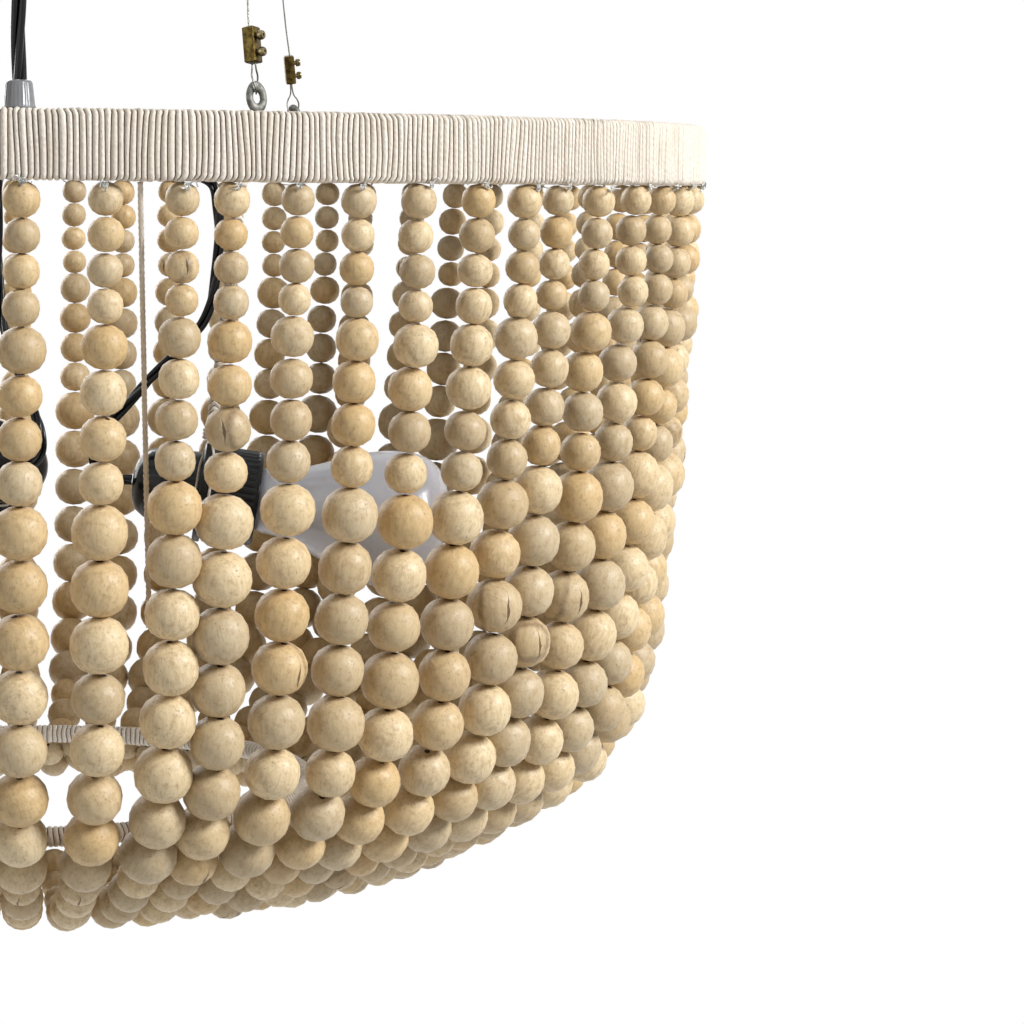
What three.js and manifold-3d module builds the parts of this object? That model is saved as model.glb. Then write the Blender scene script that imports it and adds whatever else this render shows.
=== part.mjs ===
// A beaded drum chandelier: a cord-wrapped rim band on three steel suspension wires, bead
// strands that run down to a small cord-wrapped ring and curl under it, and three lamp sockets
// on wrapped drop rods inside. Millimetres, +Z up. The origin is on the middle axis, at the
// level where the three wires end in their loops and the power cord in its ceiling cup.

import * as THREE from "three";
import { mergeVertices } from "three/addons/utils/BufferGeometryUtils.js";
import Module from "manifold-3d";

// Overall sizes

const clearance = 0.3; // between pieces that seat on or pass through each other
const cutOverrun = 2; // how far a cutting tool runs past what it cuts
const suspensionHeight = 140; // from the rim band's underside up to the wire loops

// Rim band: a steel hoop wound with cotton cord

const rimDiameter = 610;
const rimHeight = 26;
const rimDepth = 12;
const rimCornerBevel = 2.6;
const wrapThickness = 2.4; // the wrapping cord's diameter
const looseEndDiameter = 2.2;

// Top frame inside the rim band

const armWidth = 12;
const armThickness = 6;
const hubDiameter = 40;
const innerRingWidth = 8; // of the ring that the drop rods hang from

// Eyes and suspension wires

const wireCount = 3;
const firstWireAzimuth = 23.2; // degrees from the front, -Y, towards +X
const eyeInset = 75; // from the rim band's outside to the middle of the eyes
const eyeHeight = 32.5; // from the rim band's underside to the middle of the eye
const eyeWidth = 8.7;
const eyeLength = 13;
const eyeWire = 2.8;
const eyeShankDiameter = 4;
const eyeCollarDiameter = 8;
const eyeCollarHeight = 2;
const wireDiameter = 0.8;
const wireSpacing = 0.8; // each leg of the doubled wire from the middle of its clamp
const wireLean = 10.2; // degrees that each wire leans inward on its way up
const ferruleDiameter = 4;
const ferruleHeight = 7;

// Wire clamps

const clampWidth = 5;
const clampDepth = 6;
const clampHeight = 14;
const clampRises = [13.5, 17, 13.5]; // from the middle of each eye to its clamp's underside

// Power cord, its grip and its ceiling cup

const cordDiameter = 7.3;
const gripBaseDiameter = 18;
const gripTopDiameter = 12;
const gripHeight = 27.7;
const gripFootHeight = 2;
const gripEdge = 0.8;
const gripShankDiameter = 10;
const cupDiameter = 80;
const cupHeight = 16;
const cupEdgeShare = 0.25; // of the cup's height
const cupCrownShare = 0.8; // of the cup's width
const cupCrownRiseShare = 0.4; // of the cup's height

// Lower ring

const ringDiameter = 258; // middle line
const ringThickness = 9; // the wrapped rod's diameter
const ringDrop = 272; // from the rim band's underside to the ring's middle line

// Bead strands. One line threads two strands: down the first, round the lower ring and up the
// second, with both of its ends knotted under the rim band.

const pairCount = 34;
const strandSpacing = 360 / (2 * pairCount); // degrees
const firstStrandAzimuth = -0.2;
const smallBead = 13;
const mediumBead = 16.5;
const largeBead = 21;
const beadNeck = 6; // width of the strand at its ends and where two large beads meet
const lineDiameter = 1.2; // of the knotted line between the two strands of a pair
const lineDepth = 3; // from a strand's lower end up to where the line leaves it
const strandEndAngle = 45; // degrees below level at which the last bead meets the lower ring
const beadRows = [
  { diameter: smallBead, count: 4 },
  { diameter: mediumBead, count: 4 },
  { diameter: largeBead, count: 8 },
  { diameter: mediumBead, count: 4 },
  { diameter: smallBead, count: 4 },
];

// The strand's course between its hanging point and the lower ring: how far out it is, as a
// share of the step from the ring's circle to the hanging circle, and how far down, as a share
// of the ring's drop.
const strandCourseShares = [
  [1.0, 0.0],
  [0.973, 0.225],
  [0.93, 0.474],
  [0.9, 0.63],
  [0.863, 0.783],
  [0.82, 0.857],
  [0.746, 0.92],
  [0.65, 0.97],
  [0.557, 1.008],
  [0.47, 1.037],
  [0.38, 1.061],
  [0.27, 1.073],
  [0.16, 1.068],
  [0.075, 1.046],
];

// Lamps: three sockets on drop rods, set like a pinwheel round the axis

const lampCount = 3;
const firstLampAzimuth = 86; // the way the first lamp points
const lampDroop = 8.7; // degrees that a socket points below level
const socketSetback = 50.8; // from the axis to the back of a socket, along its pointing
const socketOffset = 26.5; // sideways from the axis to the socket's middle line
const socketDrop = 132; // from the rim band's underside to the back of a socket
const socketBackDiameter = 33;
const socketBackLength = 13;
const socketBarrelDiameter = 34;
const socketFlangeDiameter = 45.6;
const socketFlangeStart = 29.5;
const socketFlangeThickness = 3.4;
const socketCollarDiameter = 42;
const socketLength = 56;
const socketBottom = 30; // depth of the socket's floor from its back
const capDiameter = 26.4;
const bulbDiameter = 62;
const bulbReach = 141; // from the socket's back to the bulb's tip
const rodDiameter = 5.4;
const rodLean = 7; // degrees that a drop rod leans outward on its way up
const lampCordDiameter = 5;
const jointWall = 1; // of the piece that joins the three lamp cords, above and below them
const contactWidthShare = 0.4; // the bulb's contact, as a share of its cap's width
const contactLengthShare = 0.2; // and of its cap's radius

// The socket's rounded back: width as a share of its full width, and distance as a share of
// the back's length.
const socketBackShares = [
  [0.3, 0],
  [0.72, 0.2],
  [0.94, 0.6],
  [1.0, 1.0],
];

// The bulb's glass: distance along it as a share of the stretch from the socket's mouth to the
// tip, and width as a share of the step from the cap's width to the full width.
const glassShares = [
  [0.02, 0.05],
  [0.16, 0.14],
  [0.32, 0.42],
  [0.5, 0.78],
  [0.66, 0.97],
  [0.76, 1.0],
  [0.87, 0.86],
  [0.95, 0.5],
];

// Faces round each shape

const rimSegments = 32;
const ringSegments = 24;
const roundSides = 10;
const thinSides = 8;
const smallSides = 6;
const cordSides = 5;
const wireSides = 4;
const beadSides = 3;

// Levels

const rimUnderside = -suspensionHeight;
const rimMiddle = rimUnderside + rimHeight / 2;
const armTop = rimMiddle + armThickness / 2;
const armUnderside = rimMiddle - armThickness / 2;

const rimRadius = rimDiameter / 2;
const eyeCircleRadius = rimRadius - eyeInset;
const hangingRadius = rimRadius - rimDepth / 2;
const ringRadius = ringDiameter / 2;
const ringLevel = rimUnderside - ringDrop;

// A drop rod stands on its socket's flange and reaches up to the inner ring's underside, so the
// ring's size follows from the socket's place and the rod's lean.

const droop = THREE.MathUtils.degToRad(lampDroop);
const rodTilt = THREE.MathUtils.degToRad(rodLean);
const rodAlong = socketFlangeStart + socketFlangeThickness / 2;
const rodStand = socketFlangeDiameter / 2 + clearance;
const rodFootReach = socketSetback + Math.cos(droop) * rodAlong + Math.sin(droop) * rodStand;
const rodFootLevel = rimUnderside - socketDrop - Math.sin(droop) * rodAlong + Math.cos(droop) * rodStand;
const rodEdgeRise = (Math.sin(rodTilt) * rodDiameter) / 2;
const rodLength = (armUnderside - clearance - rodEdgeRise - rodFootLevel) / Math.cos(rodTilt);
const innerRingRadius = Math.hypot(rodFootReach + Math.sin(rodTilt) * rodLength, socketOffset);

const finishes = {
  cotton: new THREE.MeshStandardMaterial({ color: 0xd9ccb8, roughness: 0.95, metalness: 0 }),
  steel: new THREE.MeshStandardMaterial({ color: 0x9a9a98, roughness: 0.5, metalness: 0.9 }),
  wire: new THREE.MeshStandardMaterial({ color: 0x8c8a86, roughness: 0.4, metalness: 1 }),
  brass: new THREE.MeshStandardMaterial({ color: 0x6e5a34, roughness: 0.4, metalness: 0.9 }),
  wood: new THREE.MeshStandardMaterial({ color: 0xc9ad84, roughness: 0.6, metalness: 0 }),
  black: new THREE.MeshStandardMaterial({ color: 0x0c0c0d, roughness: 0.2, metalness: 0 }),
  clear: new THREE.MeshStandardMaterial({ color: 0xc6c8ca, roughness: 0.3, metalness: 0 }),
  frosted: new THREE.MeshStandardMaterial({ color: 0xc5c4cc, roughness: 0.4, metalness: 0 }),
  enamel: new THREE.MeshStandardMaterial({ color: 0x141414, roughness: 0.35, metalness: 0 }),
};

const wasm = await Module();
wasm.setup();

// Solids and booleans

const weldTolerance = 1e-4;

function bare(geometry) {
  const flat = geometry.clone();
  flat.deleteAttribute("normal");
  flat.deleteAttribute("uv");
  return mergeVertices(flat, weldTolerance);
}

function toSolid(geometry) {
  const merged = bare(geometry);
  return new wasm.Manifold(
    new wasm.Mesh({
      numProp: 3,
      vertProperties: new Float32Array(merged.attributes.position.array),
      triVerts: new Uint32Array(merged.index.array),
    }),
  );
}

function toGeometry(solid) {
  const mesh = solid.getMesh();
  const geometry = new THREE.BufferGeometry();
  geometry.setAttribute("position", new THREE.BufferAttribute(mesh.vertProperties, 3));
  geometry.setIndex(new THREE.BufferAttribute(mesh.triVerts, 1));
  const faceted = geometry.toNonIndexed();
  faceted.computeVertexNormals();
  return faceted;
}

function join(...geometries) {
  return toGeometry(geometries.map(toSolid).reduce((whole, next) => whole.add(next)));
}

function cut(base, ...tools) {
  return toGeometry(tools.map(toSolid).reduce((whole, next) => whole.subtract(next), toSolid(base)));
}

// A turned shape about the Z axis from [radius, height] points. A profile that doesn't start on
// the axis is closed on itself. The points run so that the faces look outward.
function turned(points, segments) {
  const closed = points[0][0] > 0;
  const outline = closed ? [...points, points[0]] : points;
  let area = 0;
  outline.forEach(([radius, height], index) => {
    const [nextRadius, nextHeight] = outline[(index + 1) % outline.length];
    area += radius * nextHeight - nextRadius * height;
  });
  const ordered = area > 0 ? outline : [...outline].reverse();
  const profile = ordered.map(([radius, height]) => new THREE.Vector2(radius, height));
  return new THREE.LatheGeometry(profile, segments).rotateX(Math.PI / 2);
}

function turnedAlongX(points, segments) {
  return turned(points, segments).rotateY(Math.PI / 2);
}

function cylinder(diameter, height, sides, bottom) {
  const shape = new THREE.CylinderGeometry(diameter / 2, diameter / 2, height, sides);
  return shape.rotateX(Math.PI / 2).translate(0, 0, bottom + height / 2);
}

// A curve whose sections stand exactly on its chosen points.
class Route extends THREE.CatmullRomCurve3 {
  getPointAt(share, target) {
    return this.getPoint(share, target);
  }

  getTangentAt(share, target) {
    return this.getTangent(share, target);
  }
}

function tube(points, diameter, sides) {
  const route = new Route(points.map((point) => new THREE.Vector3(...point)), false, "centripetal");
  const section = new THREE.Shape();
  for (let side = 0; side < sides; side += 1) {
    const angle = (side / sides) * 2 * Math.PI;
    const across = (Math.cos(angle) * diameter) / 2;
    const along = (Math.sin(angle) * diameter) / 2;
    if (side === 0) section.moveTo(across, along);
    else section.lineTo(across, along);
  }
  const steps = points.length - 1;
  return new THREE.ExtrudeGeometry(section, { steps, bevelEnabled: false, extrudePath: route });
}

// A group turned so that its +X looks the way of an azimuth, counted from the front.
function facing(azimuth) {
  const group = new THREE.Group();
  group.rotation.z = THREE.MathUtils.degToRad(azimuth - 90);
  return group;
}

const chandelier = new THREE.Group();

function place(parent, name, geometry, material) {
  const mesh = new THREE.Mesh(geometry, material);
  mesh.name = name;
  parent.add(mesh);
  return mesh;
}

// Rim band

function bandProfile(radius, depth, underside, height, corner) {
  const inner = radius - depth;
  const top = underside + height;
  return [
    [inner, underside + corner],
    [inner + corner, underside],
    [radius - corner, underside],
    [radius, underside + corner],
    [radius, top - corner],
    [radius - corner, top],
    [inner + corner, top],
    [inner, top - corner],
  ];
}

function rectangleProfile(radius, depth, underside, height) {
  return [
    [radius - depth, underside],
    [radius, underside],
    [radius, underside + height],
    [radius - depth, underside + height],
  ];
}

// The hoop inside the winding, with `room` left between them on every side.
function hoopProfile(room) {
  const wall = wrapThickness + room;
  return rectangleProfile(rimRadius - wall, rimDepth - 2 * wall, rimUnderside + wall, rimHeight - 2 * wall);
}

function armBar(room) {
  const end = hangingRadius;
  const bar = new THREE.BoxGeometry(end, armWidth + 2 * room, armThickness + 2 * room);
  return bar.translate(end / 2, 0, rimMiddle);
}

function armAngles() {
  return Array.from({ length: wireCount }, (_, index) => firstWireAzimuth + (index * 360) / wireCount);
}

function turnToAzimuth(geometry, azimuth) {
  return geometry.rotateZ(THREE.MathUtils.degToRad(azimuth - 90));
}

const eyeHoleInArm = eyeShankDiameter + 2 * clearance;
const gripHoleInHub = gripShankDiameter + 2 * clearance;

function topFrame() {
  const hoop = turned(hoopProfile(clearance), rimSegments);
  const innerRingOuter = innerRingRadius + innerRingWidth / 2;
  const innerRing = turned(
    rectangleProfile(innerRingOuter, innerRingWidth, armUnderside, armThickness),
    ringSegments,
  );
  const hub = cylinder(hubDiameter, armThickness, roundSides, armUnderside);
  const arms = armAngles().map((azimuth) => turnToAzimuth(armBar(0), azimuth));
  const toolBottom = armUnderside - cutOverrun;
  const toolHeight = armThickness + 2 * cutOverrun;
  const eyeHoles = armAngles().map((azimuth) => {
    const tool = cylinder(eyeHoleInArm, toolHeight, smallSides, toolBottom);
    return turnToAzimuth(tool.translate(eyeCircleRadius, 0, 0), azimuth);
  });
  const gripHole = cylinder(gripHoleInHub, toolHeight, roundSides, toolBottom);
  return cut(join(hoop, innerRing, hub, ...arms), gripHole, ...eyeHoles);
}

function rimWrap() {
  const band = bandProfile(rimRadius, rimDepth, rimUnderside, rimHeight, rimCornerBevel);
  const sleeve = turned(band, rimSegments);
  const hollow = turned(hoopProfile(0), rimSegments);
  const armHoles = armAngles().map((azimuth) => turnToAzimuth(armBar(clearance), azimuth));
  return cut(sleeve, hollow, ...armHoles);
}

place(chandelier, "top_frame", topFrame(), finishes.enamel);
place(chandelier, "rim_wrap", rimWrap(), finishes.cotton);

// The loose end of the wrapping cord. It hangs inside the shade from the rim band's underside
// and leans on the strands beside it. Points are [x, y, z] from the axis at the rim band's
// underside.
const looseEndRoute = [
  [43.0, -293.7, -0.3],
  [43.2, -291.4, -10],
  [43.5, -289.3, -20],
  [43.7, -287.1, -31],
  [44.0, -284.9, -43],
  [44.3, -283.0, -55],
  [44.6, -281.1, -67],
  [44.8, -279.2, -79],
  [45.1, -277.4, -91],
  [45.4, -275.4, -103],
  [45.7, -273.2, -115],
  [46.0, -270.9, -127],
  [46.3, -268.5, -139],
  [46.6, -266.4, -150],
  [46.7, -264.5, -159],
  [46.7, -263.2, -166],
];

const looseEnd = tube(looseEndRoute, looseEndDiameter, wireSides).translate(0, 0, rimUnderside);
place(chandelier, "loose_cord_end", looseEnd, finishes.cotton);

// Lower ring

const ringProfile = Array.from({ length: smallSides }, (_, side) => {
  const angle = (side / smallSides) * 2 * Math.PI;
  const radius = ringRadius + (Math.cos(angle) * ringThickness) / 2;
  return [radius, ringLevel + (Math.sin(angle) * ringThickness) / 2];
});
place(chandelier, "lower_ring", turned(ringProfile, ringSegments), finishes.cotton);

// Bead strands

function strandCourse() {
  const topRadius = hangingRadius;
  const points = strandCourseShares.map(([outShare, downShare]) => {
    const radius = ringRadius + (topRadius - ringRadius) * outShare;
    return new THREE.Vector3(radius, 0, rimUnderside - clearance - (ringDrop - clearance) * downShare);
  });
  const endAngle = THREE.MathUtils.degToRad(strandEndAngle);
  const reach = ringThickness / 2 + clearance;
  points.push(
    new THREE.Vector3(ringRadius + Math.cos(endAngle) * reach, 0, ringLevel - Math.sin(endAngle) * reach),
  );
  return new THREE.CatmullRomCurve3(points, false, "centripetal");
}

// Rings of points square to the course: a wide one round each bead's middle and a narrow one at
// the ends and where two large beads meet, every second ring turned by half a side.
function strandGeometry(course) {
  const diameters = beadRows.flatMap(({ diameter, count }) => Array(count).fill(diameter));
  const whole = diameters.reduce((sum, diameter) => sum + diameter, 0);
  const rings = [{ share: 0, radius: beadNeck / 2 }];
  let passed = 0;
  diameters.forEach((diameter, index) => {
    rings.push({ share: (passed + diameter / 2) / whole, radius: diameter / 2 });
    passed += diameter;
    const next = diameters[index + 1];
    const necked = next === undefined || (diameter === largeBead && next === largeBead);
    if (necked) rings.push({ share: passed / whole, radius: beadNeck / 2 });
  });
  const sideways = new THREE.Vector3(0, 1, 0);
  const positions = [];
  rings.forEach(({ share, radius }, ringIndex) => {
    const middle = course.getPointAt(Math.min(share, 1));
    const along = course.getTangentAt(Math.min(share, 1));
    const outward = new THREE.Vector3().crossVectors(sideways, along);
    for (let side = 0; side < beadSides; side += 1) {
      const angle = ((side + (ringIndex % 2) / 2) / beadSides) * 2 * Math.PI;
      const point = middle.clone().addScaledVector(outward, Math.cos(angle) * radius);
      point.addScaledVector(sideways, Math.sin(angle) * radius);
      positions.push(...point.toArray());
    }
  });
  const faces = [];
  for (let ring = 0; ring + 1 < rings.length; ring += 1) {
    const shift = ring % 2;
    for (let side = 0; side < beadSides; side += 1) {
      const near = ring * beadSides + side;
      const nearNext = ring * beadSides + ((side + 1) % beadSides);
      const far = (ring + 1) * beadSides + ((side + shift) % beadSides);
      const farNext = (ring + 1) * beadSides + ((side + 1) % beadSides);
      if (shift === 0) faces.push(near, nearNext, far, nearNext, farNext, far);
      else faces.push(near, nearNext, far, near, far, (ring + 1) * beadSides + side);
    }
  }
  const last = (rings.length - 1) * beadSides;
  for (let side = 1; side + 1 < beadSides; side += 1) {
    faces.push(0, side + 1, side);
    faces.push(last, last + side, last + side + 1);
  }
  const geometry = new THREE.BufferGeometry();
  geometry.setAttribute("position", new THREE.Float32BufferAttribute(positions, 3));
  geometry.setIndex(faces);
  const faceted = geometry.toNonIndexed();
  faceted.computeVertexNormals();
  return faceted;
}

function strandPair() {
  const course = strandCourse();
  const spacing = THREE.MathUtils.degToRad(strandSpacing);
  const first = strandGeometry(course);
  const second = first.clone().rotateZ(spacing);
  const start = course.getPointAt(1 - lineDepth / course.getLength());
  const end = start.clone().applyAxisAngle(new THREE.Vector3(0, 0, 1), spacing);
  return join(first, second, tube([start.toArray(), end.toArray()], lineDiameter, beadSides));
}

const pair = strandPair();
for (let index = 0; index < pairCount; index += 1) {
  const group = facing(firstStrandAzimuth + 2 * index * strandSpacing);
  chandelier.add(group);
  place(group, `strand_${String(index + 1).padStart(2, "0")}`, pair, finishes.wood);
}

// Eyes, suspension wires and clamps. Each set stands in a group on its eye, whose +X looks
// outward and whose +Z follows the leaning wire.

const eyeLevel = rimUnderside + eyeHeight;
const lean = THREE.MathUtils.degToRad(wireLean);

// An eye with a long hole: a ring drawn out upwards, on a shank that goes through the arm.
function eyelet() {
  const stretch = eyeLength / eyeWidth;
  const link = new THREE.TorusGeometry((eyeWidth - eyeWire) / 2, eyeWire / 2, smallSides, thinSides);
  link.rotateY(Math.PI / 2).scale(1, 1, stretch).rotateY(-lean);
  const linkBottom = (-(eyeWidth - eyeWire) / 2) * stretch;
  const collarBottom = armTop + clearance - eyeLevel;
  const shankBottom = armUnderside - clearance - eyeLevel;
  const shank = cylinder(eyeShankDiameter, linkBottom - shankBottom, smallSides, shankBottom);
  const collar = cylinder(eyeCollarDiameter, eyeCollarHeight, smallSides, collarBottom);
  return join(link, shank, collar);
}

// The wire's route from its short tail, down through the clamp, round the eye, up again and
// into its end loop. Points are [outward, sideways, up] from the middle of the eye.
const wireRoute = [
  [0, 0.8, 27],
  [0, 0.8, 12],
  [-1.4, 2.0, 8.6],
  [-2.3, 2.0, 6],
  [-2.2, 1.0, 3],
  [0, 0, 1.55],
  [2.2, -1.0, 3],
  [2.3, -2.0, 6],
  [1.4, -2.0, 8.6],
  [0, -0.8, 12],
  [0, -0.8, 28],
  [0, 0, 47],
  [0, 0, 71],
  [0, -0.8, 87],
  [0, -0.8, 94],
  [0, -3.4, 99.5],
  [0, -4.2, 104.6],
  [0, 0, 108.8],
  [0, 4.2, 104.6],
  [0, 3.4, 99.5],
  [0, 0.8, 94],
  [0, 0.8, 86],
];
const ferruleBottom = 86.6;

function suspensionWire() {
  const strandedWire = tube(wireRoute, wireDiameter, wireSides);
  return join(strandedWire, cylinder(ferruleDiameter, ferruleHeight, smallSides, ferruleBottom));
}

function wireClamp(rise) {
  const block = new THREE.Shape();
  block.moveTo(-clampDepth / 2, -clampWidth / 2);
  block.lineTo(clampDepth / 2, -clampWidth / 2);
  block.lineTo(clampDepth / 2, clampWidth / 2);
  block.lineTo(-clampDepth / 2, clampWidth / 2);
  block.closePath();
  const slotDepth = wireDiameter / 2 + clearance;
  const slotWidth = wireSpacing + slotDepth;
  const slot = new THREE.Path();
  slot.moveTo(-slotDepth, -slotWidth);
  slot.lineTo(-slotDepth, slotWidth);
  slot.lineTo(slotDepth, slotWidth);
  slot.lineTo(slotDepth, -slotWidth);
  slot.closePath();
  block.holes.push(slot);
  const clamp = new THREE.ExtrudeGeometry(block, { depth: clampHeight, bevelEnabled: false });
  return clamp.translate(0, 0, rise);
}

const eyeGeometry = eyelet();
const wireGeometry = suspensionWire();
armAngles().forEach((azimuth, index) => {
  const outward = facing(azimuth);
  chandelier.add(outward);
  const stand = new THREE.Group();
  stand.position.set(eyeCircleRadius, 0, eyeLevel);
  outward.add(stand);
  place(stand, `eyelet_${index + 1}`, eyeGeometry, finishes.steel);
  const leaning = new THREE.Group();
  leaning.rotation.y = -lean;
  stand.add(leaning);
  place(leaning, `suspension_wire_${index + 1}`, wireGeometry, finishes.wire);
  place(leaning, `wire_clamp_${index + 1}`, wireClamp(clampRises[index]), finishes.brass);
});

// Cord grip, power cord and ceiling cup

// The grip: a shank through the hub, a foot on it and a cone round the cord.
function cordGrip() {
  const seat = armTop + clearance;
  const shankBottom = armUnderside - clearance;
  const top = seat + gripHeight;
  return turned(
    [
      [0, shankBottom],
      [gripShankDiameter / 2, shankBottom],
      [gripShankDiameter / 2, seat],
      [gripBaseDiameter / 2, seat],
      [gripBaseDiameter / 2, seat + gripFootHeight],
      [gripTopDiameter / 2, top - gripEdge],
      [gripTopDiameter / 2 - gripEdge, top],
      [0, top],
    ],
    2 * smallSides,
  );
}

const cupUnderside = -cupHeight;

// The power cord's route between the grip and the ceiling cup. Points are [x, y, z] from the
// origin.
const cordRoute = [
  [0, 0, -95.7],
  [0, 0, -90],
  [0, 0, -84],
  [0.05, 0, -78],
  [0.15, 0.05, -73],
  [0.25, 0.1, -68],
  [0.3, 0.1, -63],
  [0.35, 0.15, -58],
  [0.35, 0.15, -53],
  [0.3, 0.1, -48],
  [0.25, 0.1, -43],
  [0.2, 0.1, -38],
  [0.1, 0.05, -33],
  [0.05, 0, -28],
  [0, 0, -22],
  [0, 0, -16.3],
];

function ceilingCup() {
  const edge = cupHeight * cupEdgeShare;
  const outletRadius = cordDiameter;
  const crownRadius = (cupDiameter / 2) * cupCrownShare;
  return turned(
    [
      [0, cupUnderside],
      [outletRadius, cupUnderside],
      [outletRadius + edge, cupUnderside + edge],
      [crownRadius, cupUnderside + cupHeight * cupCrownRiseShare],
      [cupDiameter / 2, -edge],
      [cupDiameter / 2, 0],
      [0, 0],
    ],
    2 * smallSides,
  );
}

place(chandelier, "cord_grip", cordGrip(), finishes.clear);
place(chandelier, "power_cord", tube(cordRoute, cordDiameter, smallSides), finishes.black);
place(chandelier, "ceiling_cup", ceilingCup(), finishes.black);

// Lamps

function socketGeometry() {
  const backRadius = socketBackDiameter / 2;
  const barrelRadius = socketBarrelDiameter / 2;
  const flangeRadius = socketFlangeDiameter / 2;
  const collarRadius = socketCollarDiameter / 2;
  const boreRadius = capDiameter / 2 + clearance;
  const flangeEnd = socketFlangeStart + socketFlangeThickness;
  const back = socketBackShares.map(([wideShare, alongShare]) => [
    backRadius * wideShare,
    socketBackLength * alongShare,
  ]);
  return turnedAlongX(
    [
      [0, 0],
      ...back,
      [barrelRadius, socketFlangeStart],
      [flangeRadius, socketFlangeStart],
      [flangeRadius, flangeEnd],
      [collarRadius, flangeEnd],
      [collarRadius, socketLength],
      [boreRadius, socketLength],
      [boreRadius, socketBottom],
      [0, socketBottom],
    ],
    roundSides,
  );
}

function bulbGeometry() {
  const capRadius = capDiameter / 2;
  const fullRadius = bulbDiameter / 2;
  const capStart = socketBottom + clearance;
  const contactRadius = capRadius * contactWidthShare;
  const contactLength = capRadius * contactLengthShare;
  const glassLength = bulbReach - socketLength;
  const glass = glassShares.map(([alongShare, wideShare]) => [
    capRadius + (fullRadius - capRadius) * wideShare,
    socketLength + glassLength * alongShare,
  ]);
  return turnedAlongX(
    [
      [0, capStart],
      [contactRadius, capStart],
      [capRadius, capStart + contactLength],
      [capRadius, socketLength],
      ...glass,
      [0, bulbReach],
    ],
    roundSides,
  );
}

function rodGeometry() {
  return cylinder(rodDiameter, rodLength, thinSides, 0);
}

// A lamp cord's route: out under the top frame, down beside the drop rod, then across and in
// at the back of the socket. Points are [along, sideways, up] in the lamp's own turn, from the
// axis at the rim band's underside.
const lampCordRoute = [
  [0, 0, 4],
  [34, -12, 2.4],
  [72, -26, 3],
  [86, -31, -1],
  [88.5, -31.8, -12],
  [88, -31.6, -38],
  [82, -30, -62],
  [70, -27.5, -75],
  [46, -26.5, -101],
  [35, -26.5, -114],
  [33.5, -26.5, -124],
  [40, -26.5, -130.4],
  [50.4, -26.5, -131.9],
];

function lampCords() {
  const cords = [];
  for (let index = 0; index < lampCount; index += 1) {
    const cord = tube(lampCordRoute, lampCordDiameter, cordSides).translate(0, 0, rimUnderside);
    cords.push(turnToAzimuth(cord, firstLampAzimuth + (index * 360) / lampCount));
  }
  const jointHeight = lampCordDiameter + 2 * jointWall;
  const jointBottom = armUnderside - 2 * clearance - jointHeight;
  return join(cylinder(gripShankDiameter, jointHeight, thinSides, jointBottom), ...cords);
}

place(chandelier, "lamp_cords", lampCords(), finishes.black);

const socketShape = socketGeometry();
const bulbShape = bulbGeometry();
const rodShape = rodGeometry();
for (let index = 0; index < lampCount; index += 1) {
  const outward = facing(firstLampAzimuth + (index * 360) / lampCount);
  chandelier.add(outward);
  const drooping = new THREE.Group();
  drooping.position.set(socketSetback, -socketOffset, rimUnderside - socketDrop);
  drooping.rotation.y = droop;
  outward.add(drooping);
  place(drooping, `socket_${index + 1}`, socketShape, finishes.black);
  place(drooping, `bulb_${index + 1}`, bulbShape, finishes.frosted);
  const leaningRod = new THREE.Group();
  leaningRod.position.set(rodFootReach, -socketOffset, rodFootLevel);
  leaningRod.rotation.y = rodTilt;
  outward.add(leaningRod);
  place(leaningRod, `drop_rod_${index + 1}`, rodShape, finishes.cotton);
}

export default chandelier;
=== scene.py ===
"""The looks of a beaded drum chandelier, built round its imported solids.

Every piece is in metres and in the frame of the solids: +Z is up, and the origin is on the
middle axis, where the suspension wires end. A place round the axis is an azimuth, counted in
degrees from the front, -Y, towards the right, +X. A Stand's own axes are x outward, y sideways
and z up.
"""

from __future__ import annotations

import logging
import math
from collections.abc import Sequence
from dataclasses import dataclass, field
from enum import Enum

import bpy
import numpy as np
from mathutils import Matrix


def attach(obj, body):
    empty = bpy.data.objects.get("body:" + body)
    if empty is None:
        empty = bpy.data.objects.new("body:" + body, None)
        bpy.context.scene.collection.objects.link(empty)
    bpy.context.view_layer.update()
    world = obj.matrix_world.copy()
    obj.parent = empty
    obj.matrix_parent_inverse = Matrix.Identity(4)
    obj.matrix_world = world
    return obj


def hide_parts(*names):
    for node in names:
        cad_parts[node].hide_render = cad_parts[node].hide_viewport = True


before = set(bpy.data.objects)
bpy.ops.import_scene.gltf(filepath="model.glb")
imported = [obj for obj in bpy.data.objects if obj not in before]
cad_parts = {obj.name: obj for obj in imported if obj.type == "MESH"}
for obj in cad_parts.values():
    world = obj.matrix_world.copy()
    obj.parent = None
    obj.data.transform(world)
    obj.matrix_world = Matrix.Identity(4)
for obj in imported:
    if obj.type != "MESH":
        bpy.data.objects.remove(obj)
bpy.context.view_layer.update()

LOG = logging.getLogger("chandelier")
Array = np.ndarray
Material = bpy.types.Material
Pair = tuple[float, float]
Triple = tuple[float, float, float]
Colour = tuple[float, float, float, float]
CM = 0.01
TURN = 2 * math.pi
CHANDELIER = "chandelier"
RIM_UNDERSIDE = -0.140
RIM_HEIGHT = 0.026
ARM_THICKNESS = 0.006
ARM_TOP = RIM_UNDERSIDE + RIM_HEIGHT / 2 + ARM_THICKNESS / 2
ARM_UNDERSIDE = ARM_TOP - ARM_THICKNESS
RING_RADIUS = 0.129
RING_DROP = 0.272
RING_THICKNESS = 0.009
# Past how many degrees between two faces their edge is drawn sharp.
CRISP = 30.0
MILLED = 35.0
BUNDLED = 60.0
WOUND = 75.0
SMOOTH = 180.0


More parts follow.
